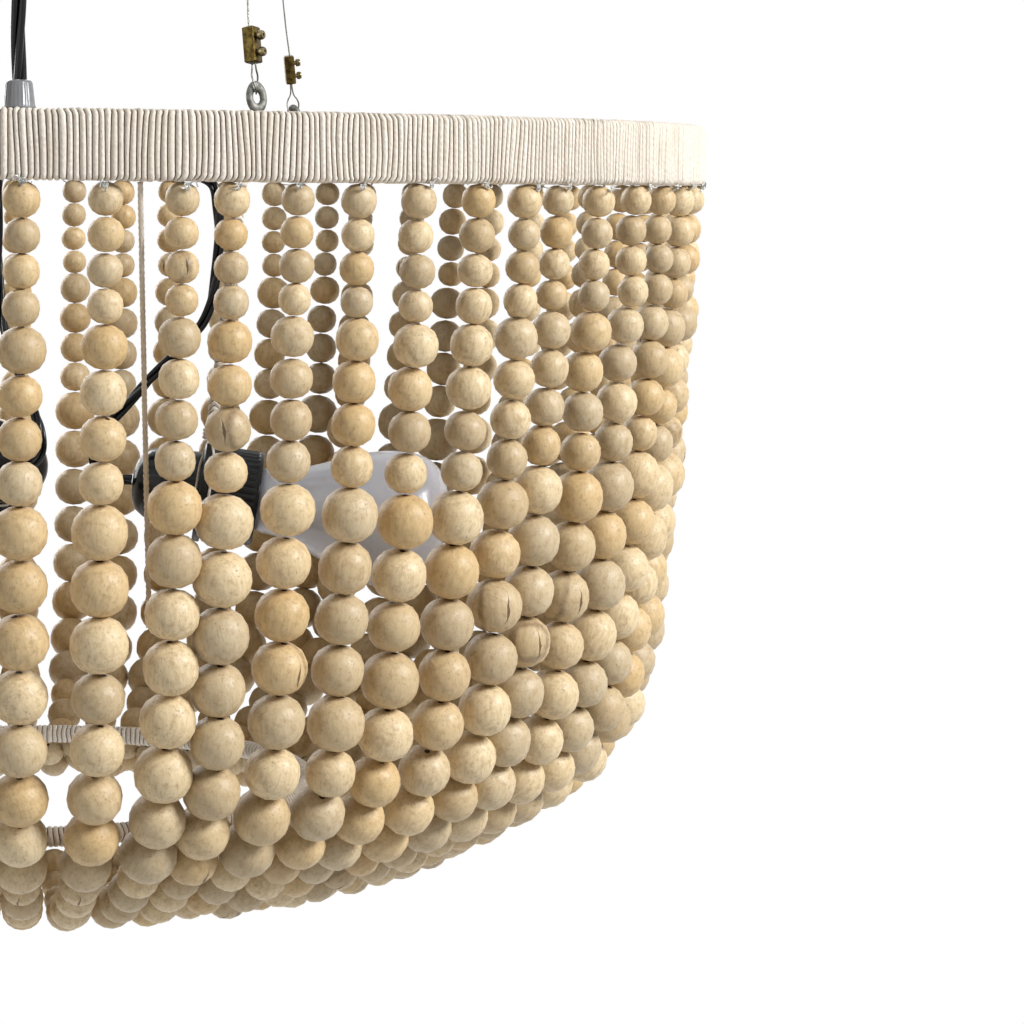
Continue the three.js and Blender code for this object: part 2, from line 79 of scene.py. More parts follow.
class Slot(Enum):
    """The record's material slots."""

    COTTON = "cotton_cord"
    WOOD = "bead_wood"
    FRAME = "frame_steel"
    ZINC = "zinc_steel"
    WIRE = "wire_rope"
    BRASS = "clamp_brass"
    GRIP = "grip_plastic"
    CORD = "black_cord"
    CUP = "cup_plastic"
    SOCKET = "socket_phenolic"
    GLASS = "bulb_glass"


# Shader writing


def tint(red: int, green: int, blue: int) -> Colour:
    """A screen colour for a shader.

    Args:
        red: Its red, from 0 to 255.
        green: Its green.
        blue: Its blue.

    Returns:
        The light values that a shader takes.
    """
    shares = np.array((red, green, blue)) / 255
    light = np.where(shares <= 0.04045, shares / 12.92, ((shares + 0.055) / 1.055) ** 2.4)
    return (*(float(channel) for channel in light), 1.0)


@dataclass(frozen=True)
class Noise:
    """A cloudy pattern: how fine and how rough it is, and how its space is stretched."""

    scale: float
    detail: float = 2.0
    rough: float = 0.5
    stretch: Triple | None = None


@dataclass(frozen=True)
class Layer:
    """A colour laid over another, by at most weight, where a pattern goes from low to high."""

    colour: Colour
    low: float
    high: float
    weight: float = 1.0


class Value:
    """A shader socket that Python's own operators combine through Math nodes."""

    def __init__(self, shading: Shading, socket: bpy.types.NodeSocket) -> None:
        """Keeps the socket and the tree that it belongs to."""
        self.shading = shading
        self.socket = socket

    def math(self, operation: str, *others: Value | float) -> Value:
        """One Math node on this value and the others, in that order."""
        inputs = dict(enumerate((self, *others)))
        return self.shading.node("ShaderNodeMath", {"operation": operation}, inputs)

    def __add__(self, other: Value | float) -> Value:
        """The sum."""
        return self.math("ADD", other)

    def __sub__(self, other: Value | float) -> Value:
        """The difference."""
        return self.math("SUBTRACT", other)

    def __mul__(self, other: Value | float) -> Value:
        """The product."""
        return self.math("MULTIPLY", other)

    def __rsub__(self, other: float) -> Value:
        """A number less this value."""
        return self.shading.node("ShaderNodeMath", {"operation": "SUBTRACT"}, {0: other, 1: self})

    def __abs__(self) -> Value:
        """The size without its sign."""
        return self.math("ABSOLUTE")

    __radd__ = __add__
    __rmul__ = __mul__


class Shading:
    """One node tree, of a material or the world, and the few ways in which this script writes it."""

    def __init__(self, holder: Material | bpy.types.World) -> None:
        """Starts an empty tree.

        Args:
            holder: The material or world that holds it.
        """
        self.holder = holder
        holder.use_nodes = True
        self.tree = holder.node_tree
        self.tree.nodes.clear()

    @staticmethod
    def of_material(name: str) -> Shading:
        """The tree of a new material."""
        return Shading(bpy.data.materials.new(name))

    def node(
        self,
        kind: str,
        settings: dict[str, object] | None = None,
        inputs: dict[int | str, object] | None = None,
        output: int | str = 0,
    ) -> Value:
        """Adds a node of any type.

        Args:
            kind: Blender's name of the node type.
            settings: The node's own properties, set first.
            inputs: What its sockets hold, by number or name: a Value is linked, the rest is set.
            output: The socket to return.

        Returns:
            The chosen output as a Value.
        """
        made = self.tree.nodes.new(kind)
        for key, setting in (settings or {}).items():
            setattr(made, key, setting)
        for key, given in (inputs or {}).items():
            if isinstance(given, Value):
                self.tree.links.new(given.socket, made.inputs[key])
            else:
                made.inputs[key].default_value = given
        return Value(self, made.outputs[output])

    def mark(self, name: str) -> Value:
        """The vector that the mesh holds at its points under this name."""
        return self.node("ShaderNodeAttribute", {"attribute_name": name}, output="Vector")

    def here(self) -> Value:
        """The place on the piece, in metres."""
        return self.node("ShaderNodeTexCoord", output="Object")

    def parts(self, vector: Value) -> tuple[Value, ...]:
        """A vector's three numbers."""
        outputs = self.node("ShaderNodeSeparateXYZ", inputs={0: vector}).socket.node.outputs
        return tuple(Value(self, number) for number in outputs)

    @staticmethod
    def length(first: Value, second: Value) -> Value:
        """The length of a vector of two numbers."""
        return (first * first + second * second).math("SQRT")

    @staticmethod
    def wave(turns: Value) -> Value:
        """A wave from 0 to 1 that repeats at each whole turn."""
        return (turns * TURN).math("SINE") * 0.5 + 0.5

    def noise(self, vector: Value, noise: Noise) -> Value:
        """A noise pattern from 0 to 1.

        Args:
            vector: The place to read it at.
            noise: Its numbers.

        Returns:
            Its value there.
        """
        if noise.stretch:
            inputs = {0: vector, 1: noise.stretch}
            vector = self.node("ShaderNodeVectorMath", {"operation": "MULTIPLY"}, inputs)
        inputs = {"Vector": vector, "Scale": noise.scale, "Detail": noise.detail, "Roughness": noise.rough}
        return self.node("ShaderNodeTexNoise", inputs=inputs)

    def ease(self, value: Value, low: float, high: float) -> Value:
        """A smooth step.

        Args:
            value: What is eased.
            low: Where the step starts.
            high: Where it ends, which may be below its start.

        Returns:
            0 before the start, 1 after the end and a smooth rise between them.
        """
        settings = {"interpolation_type": "SMOOTHSTEP"}
        inputs = {"Value": value, "From Min": low, "From Max": high}
        return self.node("ShaderNodeMapRange", settings, inputs)

    def blend(self, share: Value, first: Value | Colour, second: Value | Colour) -> Value:
        """The first colour, with the second over it by this share."""
        return self.node("ShaderNodeMix", {"data_type": "RGBA"}, {0: share, 6: first, 7: second}, 2)

    def rise(self, pattern: Value, layer: Layer) -> Value:
        """0 to 1, as a pattern goes from a layer's low to its high."""
        return self.ease(pattern, layer.low, layer.high)

    def laid(self, body: Value | Colour, pattern: Value, layer: Layer) -> Value:
        """A colour with a layer over it where the pattern says."""
        return self.blend(self.rise(pattern, layer) * layer.weight, body, layer.colour)

    def bump(self, height: Value, depth: float, strength: float) -> Value:
        """A normal from a height of 0 to 1 that stands this deep, in metres."""
        inputs = {"Height": height, "Distance": depth, "Strength": strength}
        return self.node("ShaderNodeBump", inputs=inputs)

    def show(self, surface: Value, kind: str = "ShaderNodeOutputMaterial") -> None:
        """Puts a shader on the tree's output."""
        output = self.tree.nodes.new(kind)
        self.tree.links.new(surface.socket, output.inputs["Surface"])

    def finish(self, inputs: dict[str, object]) -> Material:
        """Puts one principled shader with these sockets on the output and returns the material."""
        self.show(self.node("ShaderNodeBsdfPrincipled", inputs=inputs))
        return self.holder


# Finishes


@dataclass(frozen=True)
class BeadWood:
    """Pale turned wood under a thin wax, with fibres, blotches, specks, cracks and painted shade where the
    bores go in.
    """

    cream: Colour = tint(225, 204, 165)
    late_wood: Colour = tint(158, 127, 85)
    dark_wood: Colour = tint(84, 57, 32)
    honey: Layer = Layer(tint(209, 180, 131), 0.1, 0.95)
    grey: Layer = Layer(tint(187, 170, 140), 0.35, 1.0, 0.75)
    rings: Layer = Layer(late_wood, 0.0, 0.6, 0.16)
    fibre: Layer = Layer(late_wood, 0.46, 0.72, 0.34)
    blotch: Layer = Layer(late_wood, 0.47, 0.7, 0.42)
    speck: Layer = Layer(dark_wood, 0.6, 0.72, 0.42)
    vein: Layer = Layer(dark_wood, 0.2, 0.02, 0.9)
    crack: Layer = Layer(dark_wood, 0.1, 0.055, 0.9)
    # Painted shade: a dark disc at each end of the bore, where the closed bead has no hole.
    bore: Layer = Layer(tint(44, 29, 18), 0.13, 0.091)
    cloud_noise: Noise = Noise(1.1, 3.0)
    fibre_noise: Noise = Noise(2.0, 3.0, 0.65, (5.0, 5.0, 0.8))
    blotch_noise: Noise = Noise(3.2, 4.0, 0.65)
    speck_noise: Noise = Noise(13.0, 3.0, 0.7, (1.0, 1.0, 0.6))
    rings_per_cm: float = 3.2
    ring_wander: float = 0.5
    vein_wander: float = 0.35
    # Veins and cracks are on the beads whose third random number is past these.
    veined: Pair = (0.93, 0.95)
    cracked: Pair = (0.93, 0.94)
    crack_place: float = 0.67
    crack_taper: float = 0.11
    crack_ends: float = 0.3
    speck_depth: float = 0.7
    relief: float = 0.0005
    relief_strength: float = 0.6
    smoothest: float = 0.36
    roughness_spread: float = 0.2
    shine: float = 0.45

    def _crack(self, shading: Shading, cloud: Value, age: Value, luck: Value) -> Value:
        """A crack along the bore, at a random place across the bead and narrower towards its ends.

        Args:
            shading: The tree.
            cloud: The pattern that bends it.
            age: The bead's second random number, which places it.
            luck: The bead's third random number, which says whether it is there.

        Returns:
            1 in the crack and 0 beside it.
        """
        across, _, along = shading.parts(shading.mark("bead_place"))
        aside = abs(across + age + cloud * self.vein_wander - self.crack_place)
        taper = (abs(along) + cloud * self.crack_ends) * self.crack_taper
        return shading.rise(aside + taper, self.crack) * shading.ease(luck, *self.cracked)

    def material(self) -> Material:
        """The wood's material. It reads the marks bead_place, grain_place and bead_tone."""
        shading = Shading.of_material("bead_wood")
        across, beside, _ = shading.parts(shading.mark("bead_place"))
        grain = shading.mark("grain_place")
        grain_x, grain_y, _ = shading.parts(grain)
        warmth, age, luck = shading.parts(shading.mark("bead_tone"))
        cloud = shading.noise(grain, self.cloud_noise)
        fibres = shading.noise(grain, self.fibre_noise)
        mottle = shading.noise(grain, self.blotch_noise)
        flecks = shading.noise(grain, self.speck_noise)
        heart = shading.length(grain_x, grain_y) + cloud * self.ring_wander
        rings = shading.wave(heart * self.rings_per_cm) * self.rings.weight
        vein = shading.rise(abs(grain_x + cloud * self.vein_wander), self.vein)
        veined = mottle * self.vein.weight * shading.ease(luck, *self.veined)
        crack = self._crack(shading, cloud, age, luck)
        radius = shading.length(across, beside)
        body = shading.laid(self.cream, warmth, self.honey)
        body = shading.laid(body, age, self.grey)
        body = shading.blend(rings * shading.rise(luck, self.rings), body, self.rings.colour)
        body = shading.laid(body, fibres, self.fibre)
        body = shading.laid(body, mottle, self.blotch)
        body = shading.laid(body, flecks, self.speck)
        body = shading.blend(vein * veined, body, self.vein.colour)
        body = shading.blend(crack * self.crack.weight, body, self.crack.colour)
        # Painted shade in the bores, at both ends of each bead.
        body = shading.laid(body, radius, self.bore)
        specks, bore = shading.rise(flecks, self.speck), shading.rise(radius, self.bore)
        relief = (fibres + mottle) * 0.5 - specks * self.speck_depth - bore - crack
        inputs = {
            "Base Color": body,
            "Roughness": mottle * self.roughness_spread + self.smoothest,
            "Normal": shading.bump(relief, self.relief, self.relief_strength),
            "Specular IOR Level": self.shine,
        }
        return shading.finish(inputs)


@dataclass(frozen=True)
class CottonCord:
    """Off-white cotton cord of two plies, with painted shade darkening the grooves between its turns."""

    name: str = "cotton_cord"
    crest: Colour = tint(240, 232, 220)
    shade: Colour = tint(204, 190, 171)
    dull_turn: Layer = Layer(shade, 0.35, 1.0, 0.3)
    cloud: Layer = Layer(shade, 0.45, 0.8, 0.3)
    dust: Layer = Layer(shade, 0.5, 0.75, 0.35)
    ply: Layer = Layer(shade, 0.45, 1.0, 0.12)
    yarn: Layer = Layer(shade, 0.42, 0.66, 0.45)
    # Painted shade: the colour laid in the grooves, rising as a turn's height mark falls.
    groove: Layer = Layer(tint(98, 72, 45), 0.72, 0.05)
    cloud_noise: Noise = Noise(55.0, 3.0)
    dust_noise: Noise = Noise(260.0, 4.0, 0.7)
    wobble_noise: Noise = Noise(420.0)
    yarn_noise: Noise = Noise(1300.0, 3.0, 0.75, (1.0, 1.0, 0.6))
    ply_length: float = 0.0027
    ply_lean: float = 0.5
    ply_wobble: float = 0.8
    ply_shift: float = 3.0
    # How strong the painted groove shade is at least, and how much the dust noise adds to it.
    least_groove_shade: float = 0.75
    groove_shade_spread: float = 0.4
    yarn_relief: float = 0.8
    relief: float = 0.0005
    relief_strength: float = 0.7
    roughness: float = 0.92
    sheen: float = 0.1

    def material(self) -> Material:
        """The cord's material. It reads the mark turn_place: crest, tone and place across."""
        shading = Shading.of_material(self.name)
        crest, tone, aside = shading.parts(shading.mark("turn_place"))
        here = shading.here()
        x, y, z = shading.parts(here)
        cloud = shading.noise(here, self.cloud_noise)
        dust = shading.noise(here, self.dust_noise)
        yarn = shading.noise(here, self.yarn_noise)
        wobble = shading.noise(here, self.wobble_noise)
        level = (z + shading.length(x, y)) * (1 / self.ply_length)
        turns = level + aside * self.ply_lean + wobble * self.ply_wobble + tone * self.ply_shift
        ply = shading.wave(turns)
        body = shading.laid(self.crest, tone, self.dull_turn)
        body = shading.laid(body, cloud, self.cloud)
        body = shading.laid(body, dust, self.dust)
        body = shading.laid(body, ply, self.ply)
        body = shading.laid(body, yarn, self.yarn)
        # Painted shade in the grooves between turns, stronger where the dust noise is high.
        depth = shading.rise(crest, self.groove) * (dust * self.groove_shade_spread + self.least_groove_shade)
        relief = yarn * self.yarn_relief + ply * (1 - self.yarn_relief)
        inputs = {
            "Base Color": shading.blend(depth, body, self.groove.colour),
            "Roughness": self.roughness,
            "Normal": shading.bump(relief, self.relief, self.relief_strength),
            "Sheen Weight": self.sheen,
        }
        return shading.finish(inputs)


@dataclass(frozen=True)
class Plastic:
    """A moulded or drawn plastic with faint dust and scuffs."""

    name: str
    colour: Colour
    dust: Colour
    roughness: float
    translucent: float = 0.0
    shine: float = 0.5
    cloud_noise: Noise = Noise(140.0, 4.0, 0.65)
    grain_noise: Noise = Noise(1800.0)
    dust_start: float = 0.55
    dust_full: float = 0.85
    dust_weight: float = 0.35
    roughness_spread: float = 0.14
    bending: float = 1.48
    relief: float = 0.00006
    relief_strength: float = 0.4

    def material(self) -> Material:
        """The plastic's material."""
        shading = Shading.of_material(self.name)
        here = shading.here()
        cloud = shading.noise(here, self.cloud_noise)
        grain = shading.noise(here, self.grain_noise)
        dust = Layer(self.dust, self.dust_start, self.dust_full, self.dust_weight)
        inputs = {
            "Base Color": shading.laid(self.colour, cloud, dust),
            "Roughness": cloud * self.roughness_spread + self.roughness,
            "Transmission Weight": self.translucent,
            "IOR": self.bending,
            "Specular IOR Level": self.shine,
            "Normal": shading.bump(grain, self.relief, self.relief_strength),
        }
        return shading.finish(inputs)


@dataclass(frozen=True)
class Metal:
    """A metal with a worn and a bright tone."""

    name: str
    colour: Colour
    worn: Colour
    roughness: float
    metallic: float = 1.0
    scale: float = 420.0
    finer: float = 6.0
    wear_start: float = 0.35
    wear_full: float = 0.7
    roughness_spread: float = 0.22
    relief: float = 0.00005
    relief_strength: float = 0.5

    def material(self) -> Material:
        """The metal's material."""
        shading = Shading.of_material(self.name)
        here = shading.here()
        cloud = shading.noise(here, Noise(self.scale, 4.0, 0.6))
        grain = shading.noise(here, Noise(self.scale * self.finer))
        inputs = {
            "Base Color": shading.laid(self.colour, cloud, Layer(self.worn, self.wear_start, self.wear_full)),
            "Roughness": cloud * self.roughness_spread + self.roughness,
            "Metallic": self.metallic,
            "Normal": shading.bump(grain, self.relief, self.relief_strength),
        }
        return shading.finish(inputs)


@dataclass(frozen=True)
class FrostedGlass:
    """A lamp bulb's glass, frosted inside, which looks pale lavender grey unlit."""

    colour: Colour = tint(204, 205, 212)
    thin: Colour = tint(186, 187, 197)
    cloud_noise: Noise = Noise(60.0)
    smoothest: float = 0.24
    roughness_spread: float = 0.06

    def material(self) -> Material:
        """The glass's material."""
        shading = Shading.of_material("frosted_glass")
        cloud = shading.noise(shading.here(), self.cloud_noise)
        inputs = {
            "Base Color": shading.blend(cloud, self.colour, self.thin),
            "Roughness": cloud * self.roughness_spread + self.smoothest,
            "Coat Weight": 0.5,
            "Coat Roughness": 0.12,
            "Subsurface Weight": 0.25,
            "Subsurface Scale": 0.01,
        }
        return shading.finish(inputs)


@dataclass(frozen=True)
class NylonLine:
    """Clear fishing line, painted a milky pale colour that stands in for its glints."""

    # Painted highlight: a pale colour for the clear line's glints.
    colour: Colour = tint(206, 206, 202)
    dull: Colour = tint(176, 176, 172)
    cloud_noise: Noise = Noise(900.0)

    def material(self) -> Material:
        """The line's material."""
        shading = Shading.of_material("nylon_line")
        cloud = shading.noise(shading.here(), self.cloud_noise)
        inputs = {
            "Base Color": shading.blend(cloud, self.colour, self.dull),
            "Roughness": 0.2,
            "Coat Weight": 0.5,
        }
        return shading.finish(inputs)


# Surfaces


@dataclass(frozen=True)
class Stand:
    """A place with axes of its own, which are the rows of axes."""

    origin: Array
    axes: Array

    @staticmethod
    def at_azimuth(azimuth: float) -> Stand:
        """A stand on the middle axis.

        Args:
            azimuth: The way that it looks, in degrees.

        Returns:
            The stand, with z up.
        """
        angle = math.radians(azimuth)
        outward = (math.sin(angle), -math.cos(angle), 0.0)
        sideways = (math.cos(angle), math.sin(angle), 0.0)
        return Stand(np.zeros(3), np.array((outward, sideways, (0.0, 0.0, 1.0))))

    def moved(self, along: float, aside: float, up: float) -> Stand:
        """The stand shifted along its own axes."""
        return Stand(self.place(np.array((along, aside, up))), self.axes)

    def tilted(self, degrees: float) -> Stand:
        """The stand turned about its own y.

        Args:
            degrees: How far z leans outward.

        Returns:
            The turned stand.
        """
        angle = math.radians(degrees)
        cosine, sine = math.cos(angle), math.sin(angle)
        turn = np.array(((cosine, 0.0, -sine), (0.0, 1.0, 0.0), (sine, 0.0, cosine)))
        return Stand(self.origin, turn @ self.axes)

    def rolled(self, degrees: float) -> Stand:
        """The stand turned about its own z.

        Args:
            degrees: How far x goes towards y.

        Returns:
            The turned stand.
        """
        angle = math.radians(degrees)
        cosine, sine = math.cos(angle), math.sin(angle)
        turn = np.array(((cosine, sine, 0.0), (-sine, cosine, 0.0), (0.0, 0.0, 1.0)))
        return Stand(self.origin, turn @ self.axes)

    def lying(self) -> Stand:
        """The stand with its z laid along its x, for shapes turned about z."""
        x, y, z = self.axes
        return Stand(self.origin, np.array((-z, y, x)))

    def facing_side(self) -> Stand:
        """The stand with its z laid along its y."""
        x, y, z = self.axes
        return Stand(self.origin, np.array((z, x, y)))

    def place(self, points: Array) -> Array:
        """Points in the stand's own axes as points of the frame."""
        return self.origin + points @ self.axes

    def point(self, directions: Array) -> Array:
        """Directions in the stand's own axes as directions of the frame."""
        return directions @ self.axes


@dataclass
class Shell:
    """A surface: its points, its faces in groups of equal corners, and vectors at its points."""

    points: Array
    faces: list[Array]
    marks: dict[str, Array] = field(default_factory=dict)


def joined(shells: Sequence[Shell]) -> Shell:
    """Several shells as one.

    Args:
        shells: The shells, which all have the same marks.

    Returns:
        One shell, in which each one's face numbers are raised by the points before it.
    """
    starts = np.cumsum([0, *(len(shell.points) for shell in shells[:-1])])
    faces = [group + start for shell, start in zip(shells, starts) for group in shell.faces]
    names = shells[0].marks
    marks = {name: np.concatenate([shell.marks[name] for shell in shells]) for name in names}
    return Shell(np.concatenate([shell.points for shell in shells]), faces, marks)


def loft(grid: Array, closed: bool = False, marks: dict[str, Array] | None = None) -> Shell:
    """A shell through rings of points.

    Point j of ring i is grid[i, j]. Each ring is closed on itself, point j joins point j of the
    next ring, and four neighbours make a face. Open lofts end in a fan to the ring's mean point.

    Args:
        grid: Rings by points by three.
        closed: Whether the last ring joins the first.
        marks: Vectors at the points, rings by points by three.

    Returns:
        The shell, whose faces look outward where the rings run counter-clockwise seen from ahead.
    """
    rings, sides = grid.shape[:2]
    number = np.arange(rings * sides).reshape(rings, sides)
    ahead = np.roll(number, -1, axis=0) if closed else number[1:]
    here = number if closed else number[:-1]
    corners = (here, np.roll(here, -1, axis=1), np.roll(ahead, -1, axis=1), ahead)
    faces = [np.stack(corners, axis=-1).reshape(-1, 4)]
    points = grid.reshape(-1, 3)
    flat = {name: mark.reshape(-1, 3) for name, mark in (marks or {}).items()}
    if not closed:
        points = np.concatenate([points, grid[:1].mean(axis=1), grid[-1:].mean(axis=1)])
        flat = {
            name: np.concatenate([flat[name], mark[:1].mean(axis=1), mark[-1:].mean(axis=1)])
            for name, mark in (marks or {}).items()
        }
        first, last = number[0], number[-1]
        start, end = rings * sides, rings * sides + 1
        faces.append(np.stack([np.full(sides, start), np.roll(first, -1), first], axis=-1))
        faces.append(np.stack([np.full(sides, end), last, np.roll(last, -1)], axis=-1))
    return Shell(points, faces, flat)


def unit(vectors: Array) -> Array:
    """Vectors of the same directions with length 1."""
    return vectors / np.linalg.norm(vectors, axis=-1, keepdims=True)


def smooth_route(points: Sequence[Sequence[float]], steps: int) -> Array:
    """A smooth line through chosen points.

    It is the centripetal Catmull-Rom spline: each span is a cubic whose end slopes come from
    the neighbouring points, weighted by the square roots of the distances between them. The end
    points are carried on by a step as long as their own span.

    Args:
        points: The chosen points.
        steps: Steps in each span.

    Returns:
        The line's points, with steps in each span and the last chosen point at the end.
    """
    chosen = np.array(points, float)
    carried = np.concatenate([2 * chosen[:1] - chosen[1:2], chosen, 2 * chosen[-1:] - chosen[-2:-1]])
    before, start, end, after = carried[:-3], carried[1:-2], carried[2:-1], carried[3:]
    gaps = [np.sqrt(np.linalg.norm(b - a, axis=1, keepdims=True))
            for a, b in ((before, start), (start, end), (end, after))]
    leave = (start - before) / gaps[0] - (end - before) / (gaps[0] + gaps[1]) + (end - start) / gaps[1]
    reach = (end - start) / gaps[1] - (after - start) / (gaps[1] + gaps[2]) + (after - end) / gaps[2]
    leave, reach = leave * gaps[1], reach * gaps[1]
    share = np.linspace(0, 1, steps, endpoint=False)[None, :, None]
    start, end, leave, reach = (part[:, None, :] for part in (start, end, leave, reach))
    square, cube = share**2, share**3
    line = (
        start * (2 * cube - 3 * square + 1)
        + leave * (cube - 2 * square + share)
        + end * (3 * square - 2 * cube)
        + reach * (cube - square)
    )
    return np.concatenate([line.reshape(-1, chosen.shape[1]), chosen[-1:]])


def travelled(line: Array) -> Array:
    """The distance along a line at each of its points."""
    return np.concatenate([[0.0], np.cumsum(np.linalg.norm(np.diff(line, axis=0), axis=1))])


def at_distances(line: Array, distances: Array) -> Array:
    """The points of a line at these distances along it."""
    far = travelled(line)
    return np.stack([np.interp(distances, far, column) for column in line.T], axis=-1)


def whole_turn(steps: int) -> Array:
    """Equal angles round a whole turn."""
    return np.linspace(0, TURN, steps, endpoint=False)


def round_grid(reach: Array, height: Array, sides: int) -> Array:
    """Rings round z, whose point at angle t is (reach cos t, reach sin t, height).

    Args:
        reach: The radius of each ring, as a column, or of each point of each ring.
        height: The height of each ring.
        sides: Points in a ring.

    Returns:
        Rings by points by three.
    """
    angle = whole_turn(sides)
    level = np.broadcast_to(height[:, None], (len(height), sides))
    return np.stack([reach * np.cos(angle), reach * np.sin(angle), level], axis=-1)


def turned(profile: Sequence[Sequence[float]], sides: int, stand: Stand, closed: bool = False) -> Shell:
    """A profile of (radius, height), run up its outer side, turned about a stand's z."""
    radius, height = np.array(profile, float).T
    return loft(stand.place(round_grid(radius[:, None], height, sides)), closed)


def peg(radius: float, low: float, high: float, edge: float, sides: int, stand: Stand) -> Shell:
    """A turned peg from low to high, with both edges cut back by edge."""
    outer = ((radius - edge, low), (radius, low + edge), (radius, high - edge), (radius - edge, high))
    return turned(((0, low), *outer, (0, high)), sides, stand)


def across(line: Array, lead: Array) -> tuple[Array, Array, Array]:
    """The directions along a line and two square to it.

    Args:
        line: The line's points.
        lead: A direction that is never along the line.

    Returns:
        The way along at each point, the lead less its part along, and the direction square to both.
    """
    along = unit(np.gradient(line, axis=0))
    first = unit(lead - np.sum(lead * along, axis=1, keepdims=True) * along)
    return along, first, np.cross(along, first)


def tube(
    line: Array,
    radius: float,
    sides: int,
    lead: Sequence[float],
    twist: float = 0.0,
    lobes: int = 0,
    lobe_share: float = 0.0,
) -> Shell:
    """A tube along a line.

    The point at angle t of the ring at distance d is the line's point plus radius times
    (cos t, sin t) on the two directions square to the line. With lobes the radius swells and
    shrinks as cos(lobes * (t - twist * d)), which draws twisted plies.

    Args:
        line: The middle line.
        radius: Its radius.
        sides: Points in a ring.
        lead: A direction that is never along the line.
        twist: Turns for each metre.
        lobes: How many plies show.
        lobe_share: How far the lobes reach, as a share of the radius.

    Returns:
        The closed tube.
    """
    _, first, second = across(line, np.array(lead, float))
    angle = whole_turn(sides)
    turn = travelled(line)[:, None] * twist * TURN
    swell = radius * (1 - lobe_share + lobe_share * np.cos(lobes * (angle - turn)))
    ring = first[:, None] * np.cos(angle)[:, None] + second[:, None] * np.sin(angle)[:, None]
    return loft(line[:, None] + ring * swell[..., None])


def way_round(loop: Array) -> Array:
    """The direction along a closed line at each of its points."""
    return unit(np.roll(loop, -1, axis=0) - np.roll(loop, 1, axis=0))


def looped_tube(loop: Array, outward: Array, radius: float, sides: int) -> Shell:
    """A tube along a closed line, with its ring on the outward direction and the one square to it.

    Args:
        loop: The closed middle line.
        outward: A direction square to the line at each of its points.
        radius: The tube's radius.
        sides: Points in a ring.

    Returns:
        The tube.
    """
    angle = whole_turn(sides)[:, None]
    beside = np.cross(way_round(loop), outward)
    ring = outward[:, None] * np.cos(angle) + beside[:, None] * np.sin(angle)
    return loft(loop[:, None] + radius * ring, closed=True)


def wound_lines(line: Array, count: int, offset: float, twist: float, lead: Sequence[float]) -> list[Array]:
    """Lines that wind side by side round a middle line.

    Args:
        line: The middle line.
        count: How many wind round it.
        offset: How far from it they run.
        twist: Turns for each metre.
        lead: A direction that is never along the line.

    Returns:
        The lines, at equal angles: each is the middle line plus the offset at its turning angle.
    """
    _, first, second = across(line, np.array(lead, float))
    angles = whole_turn(count)[:, None] + travelled(line) * twist * TURN
    shift = first * np.cos(angles)[..., None] + second * np.sin(angles)[..., None]
    return list(line + offset * shift)


def prism(outline: Array, bottom: float, top: float, chamfer: float, stand: Stand) -> Shell:
    """An upright prism on a convex outline, with its upper and lower edges cut back.

    Args:
        outline: The outline's points about its middle, counter-clockwise.
        bottom: The level of its underside.
        top: The level of its top.
        chamfer: How far the edges are cut back.
        stand: Where it stands.

    Returns:
        The prism, through rings of the outline scaled about its middle.
    """
    size = np.abs(outline).max(axis=0)
    narrow = outline * (1 - chamfer / size)
    levels = ((narrow, bottom), (outline, bottom + chamfer), (outline, top - chamfer), (narrow, top))
    rings = [np.column_stack([ring, np.full(len(ring), level)]) for ring, level in levels]
    return loft(stand.place(np.array(rings)))


def rounded_outline(width: float, depth: float, corner: float, steps: int) -> Array:
    """A rectangle with round corners.

    Args:
        width: Its size along the first direction.
        depth: Its size along the second.
        corner: The corners' radius.
        steps: Steps in a corner's arc.

    Returns:
        Its points about its middle, counter-clockwise.
    """
    quarter = np.linspace(0, TURN / 4, steps + 1)
    angle = (whole_turn(4)[:, None] + quarter).ravel()
    signs = np.repeat(np.array(((1, 1), (-1, 1), (-1, -1), (1, -1))), steps + 1, axis=0)
    centre = signs * (width / 2 - corner, depth / 2 - corner)
    return centre + corner * np.column_stack([np.cos(angle), np.sin(angle)])


def held_mark(shell: Shell, name: str, vector: Triple) -> Shell:
    """The shell with the same vector marked at each of its points."""
    shell.marks[name] = np.tile(vector, (len(shell.points), 1))
    return shell


def make_piece(
    name: str,
    shell: Shell,
    finish: Material,
    body: str = CHANDELIER,
    stands_for: Sequence[str] = (),
    sharp: float = 42.0,
) -> bpy.types.Object:
    """Puts a shell into the scene as a piece on a body.

    Args:
        name: The piece's name.
        shell: Its surface.
        finish: Its material.
        body: The body that it rides on.
        stands_for: The solids that it stands for.
        sharp: Edges that turn by more degrees than this are drawn sharp.

    Returns:
        The object.
    """
    mesh = bpy.data.meshes.new(name)
    faces = [face for group in shell.faces for face in group.tolist()]
    mesh.from_pydata(shell.points.tolist(), [], faces)
    for mark, vectors in shell.marks.items():
        attribute = mesh.attributes.new(mark, "FLOAT_VECTOR", "POINT")
        attribute.data.foreach_set("vector", vectors.astype(np.float32).ravel())
    mesh.shade_smooth()
    mesh.set_sharp_from_angle(angle=math.radians(sharp))
    mesh.materials.append(finish)
    mesh.update()
    piece = bpy.data.objects.new(name, mesh)
    bpy.context.scene.collection.objects.link(piece)
    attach(piece, body)
    if stands_for:
        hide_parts(*stands_for)
    replaced = ", ".join(stands_for) or "nothing"
    LOG.info("%s: %d points, stands for %s", name, len(shell.points), replaced)
    return piece


def put(thing: bpy.types.Object, axes: Sequence[Array], place: Sequence[float]) -> None:
    """Links a camera or a lamp, which looks along its own -Z.

    Args:
        thing: The object.
        axes: Its own x, y and z as directions of the frame.
        place: Where it stands.
    """
    rows = [(*(float(axis[row]) for axis in axes), float(place[row])) for row in range(3)]
    thing.matrix_world = Matrix([*rows, (0.0, 0.0, 0.0, 1.0)])
    bpy.context.scene.collection.objects.link(thing)


# Cord wound over a bar


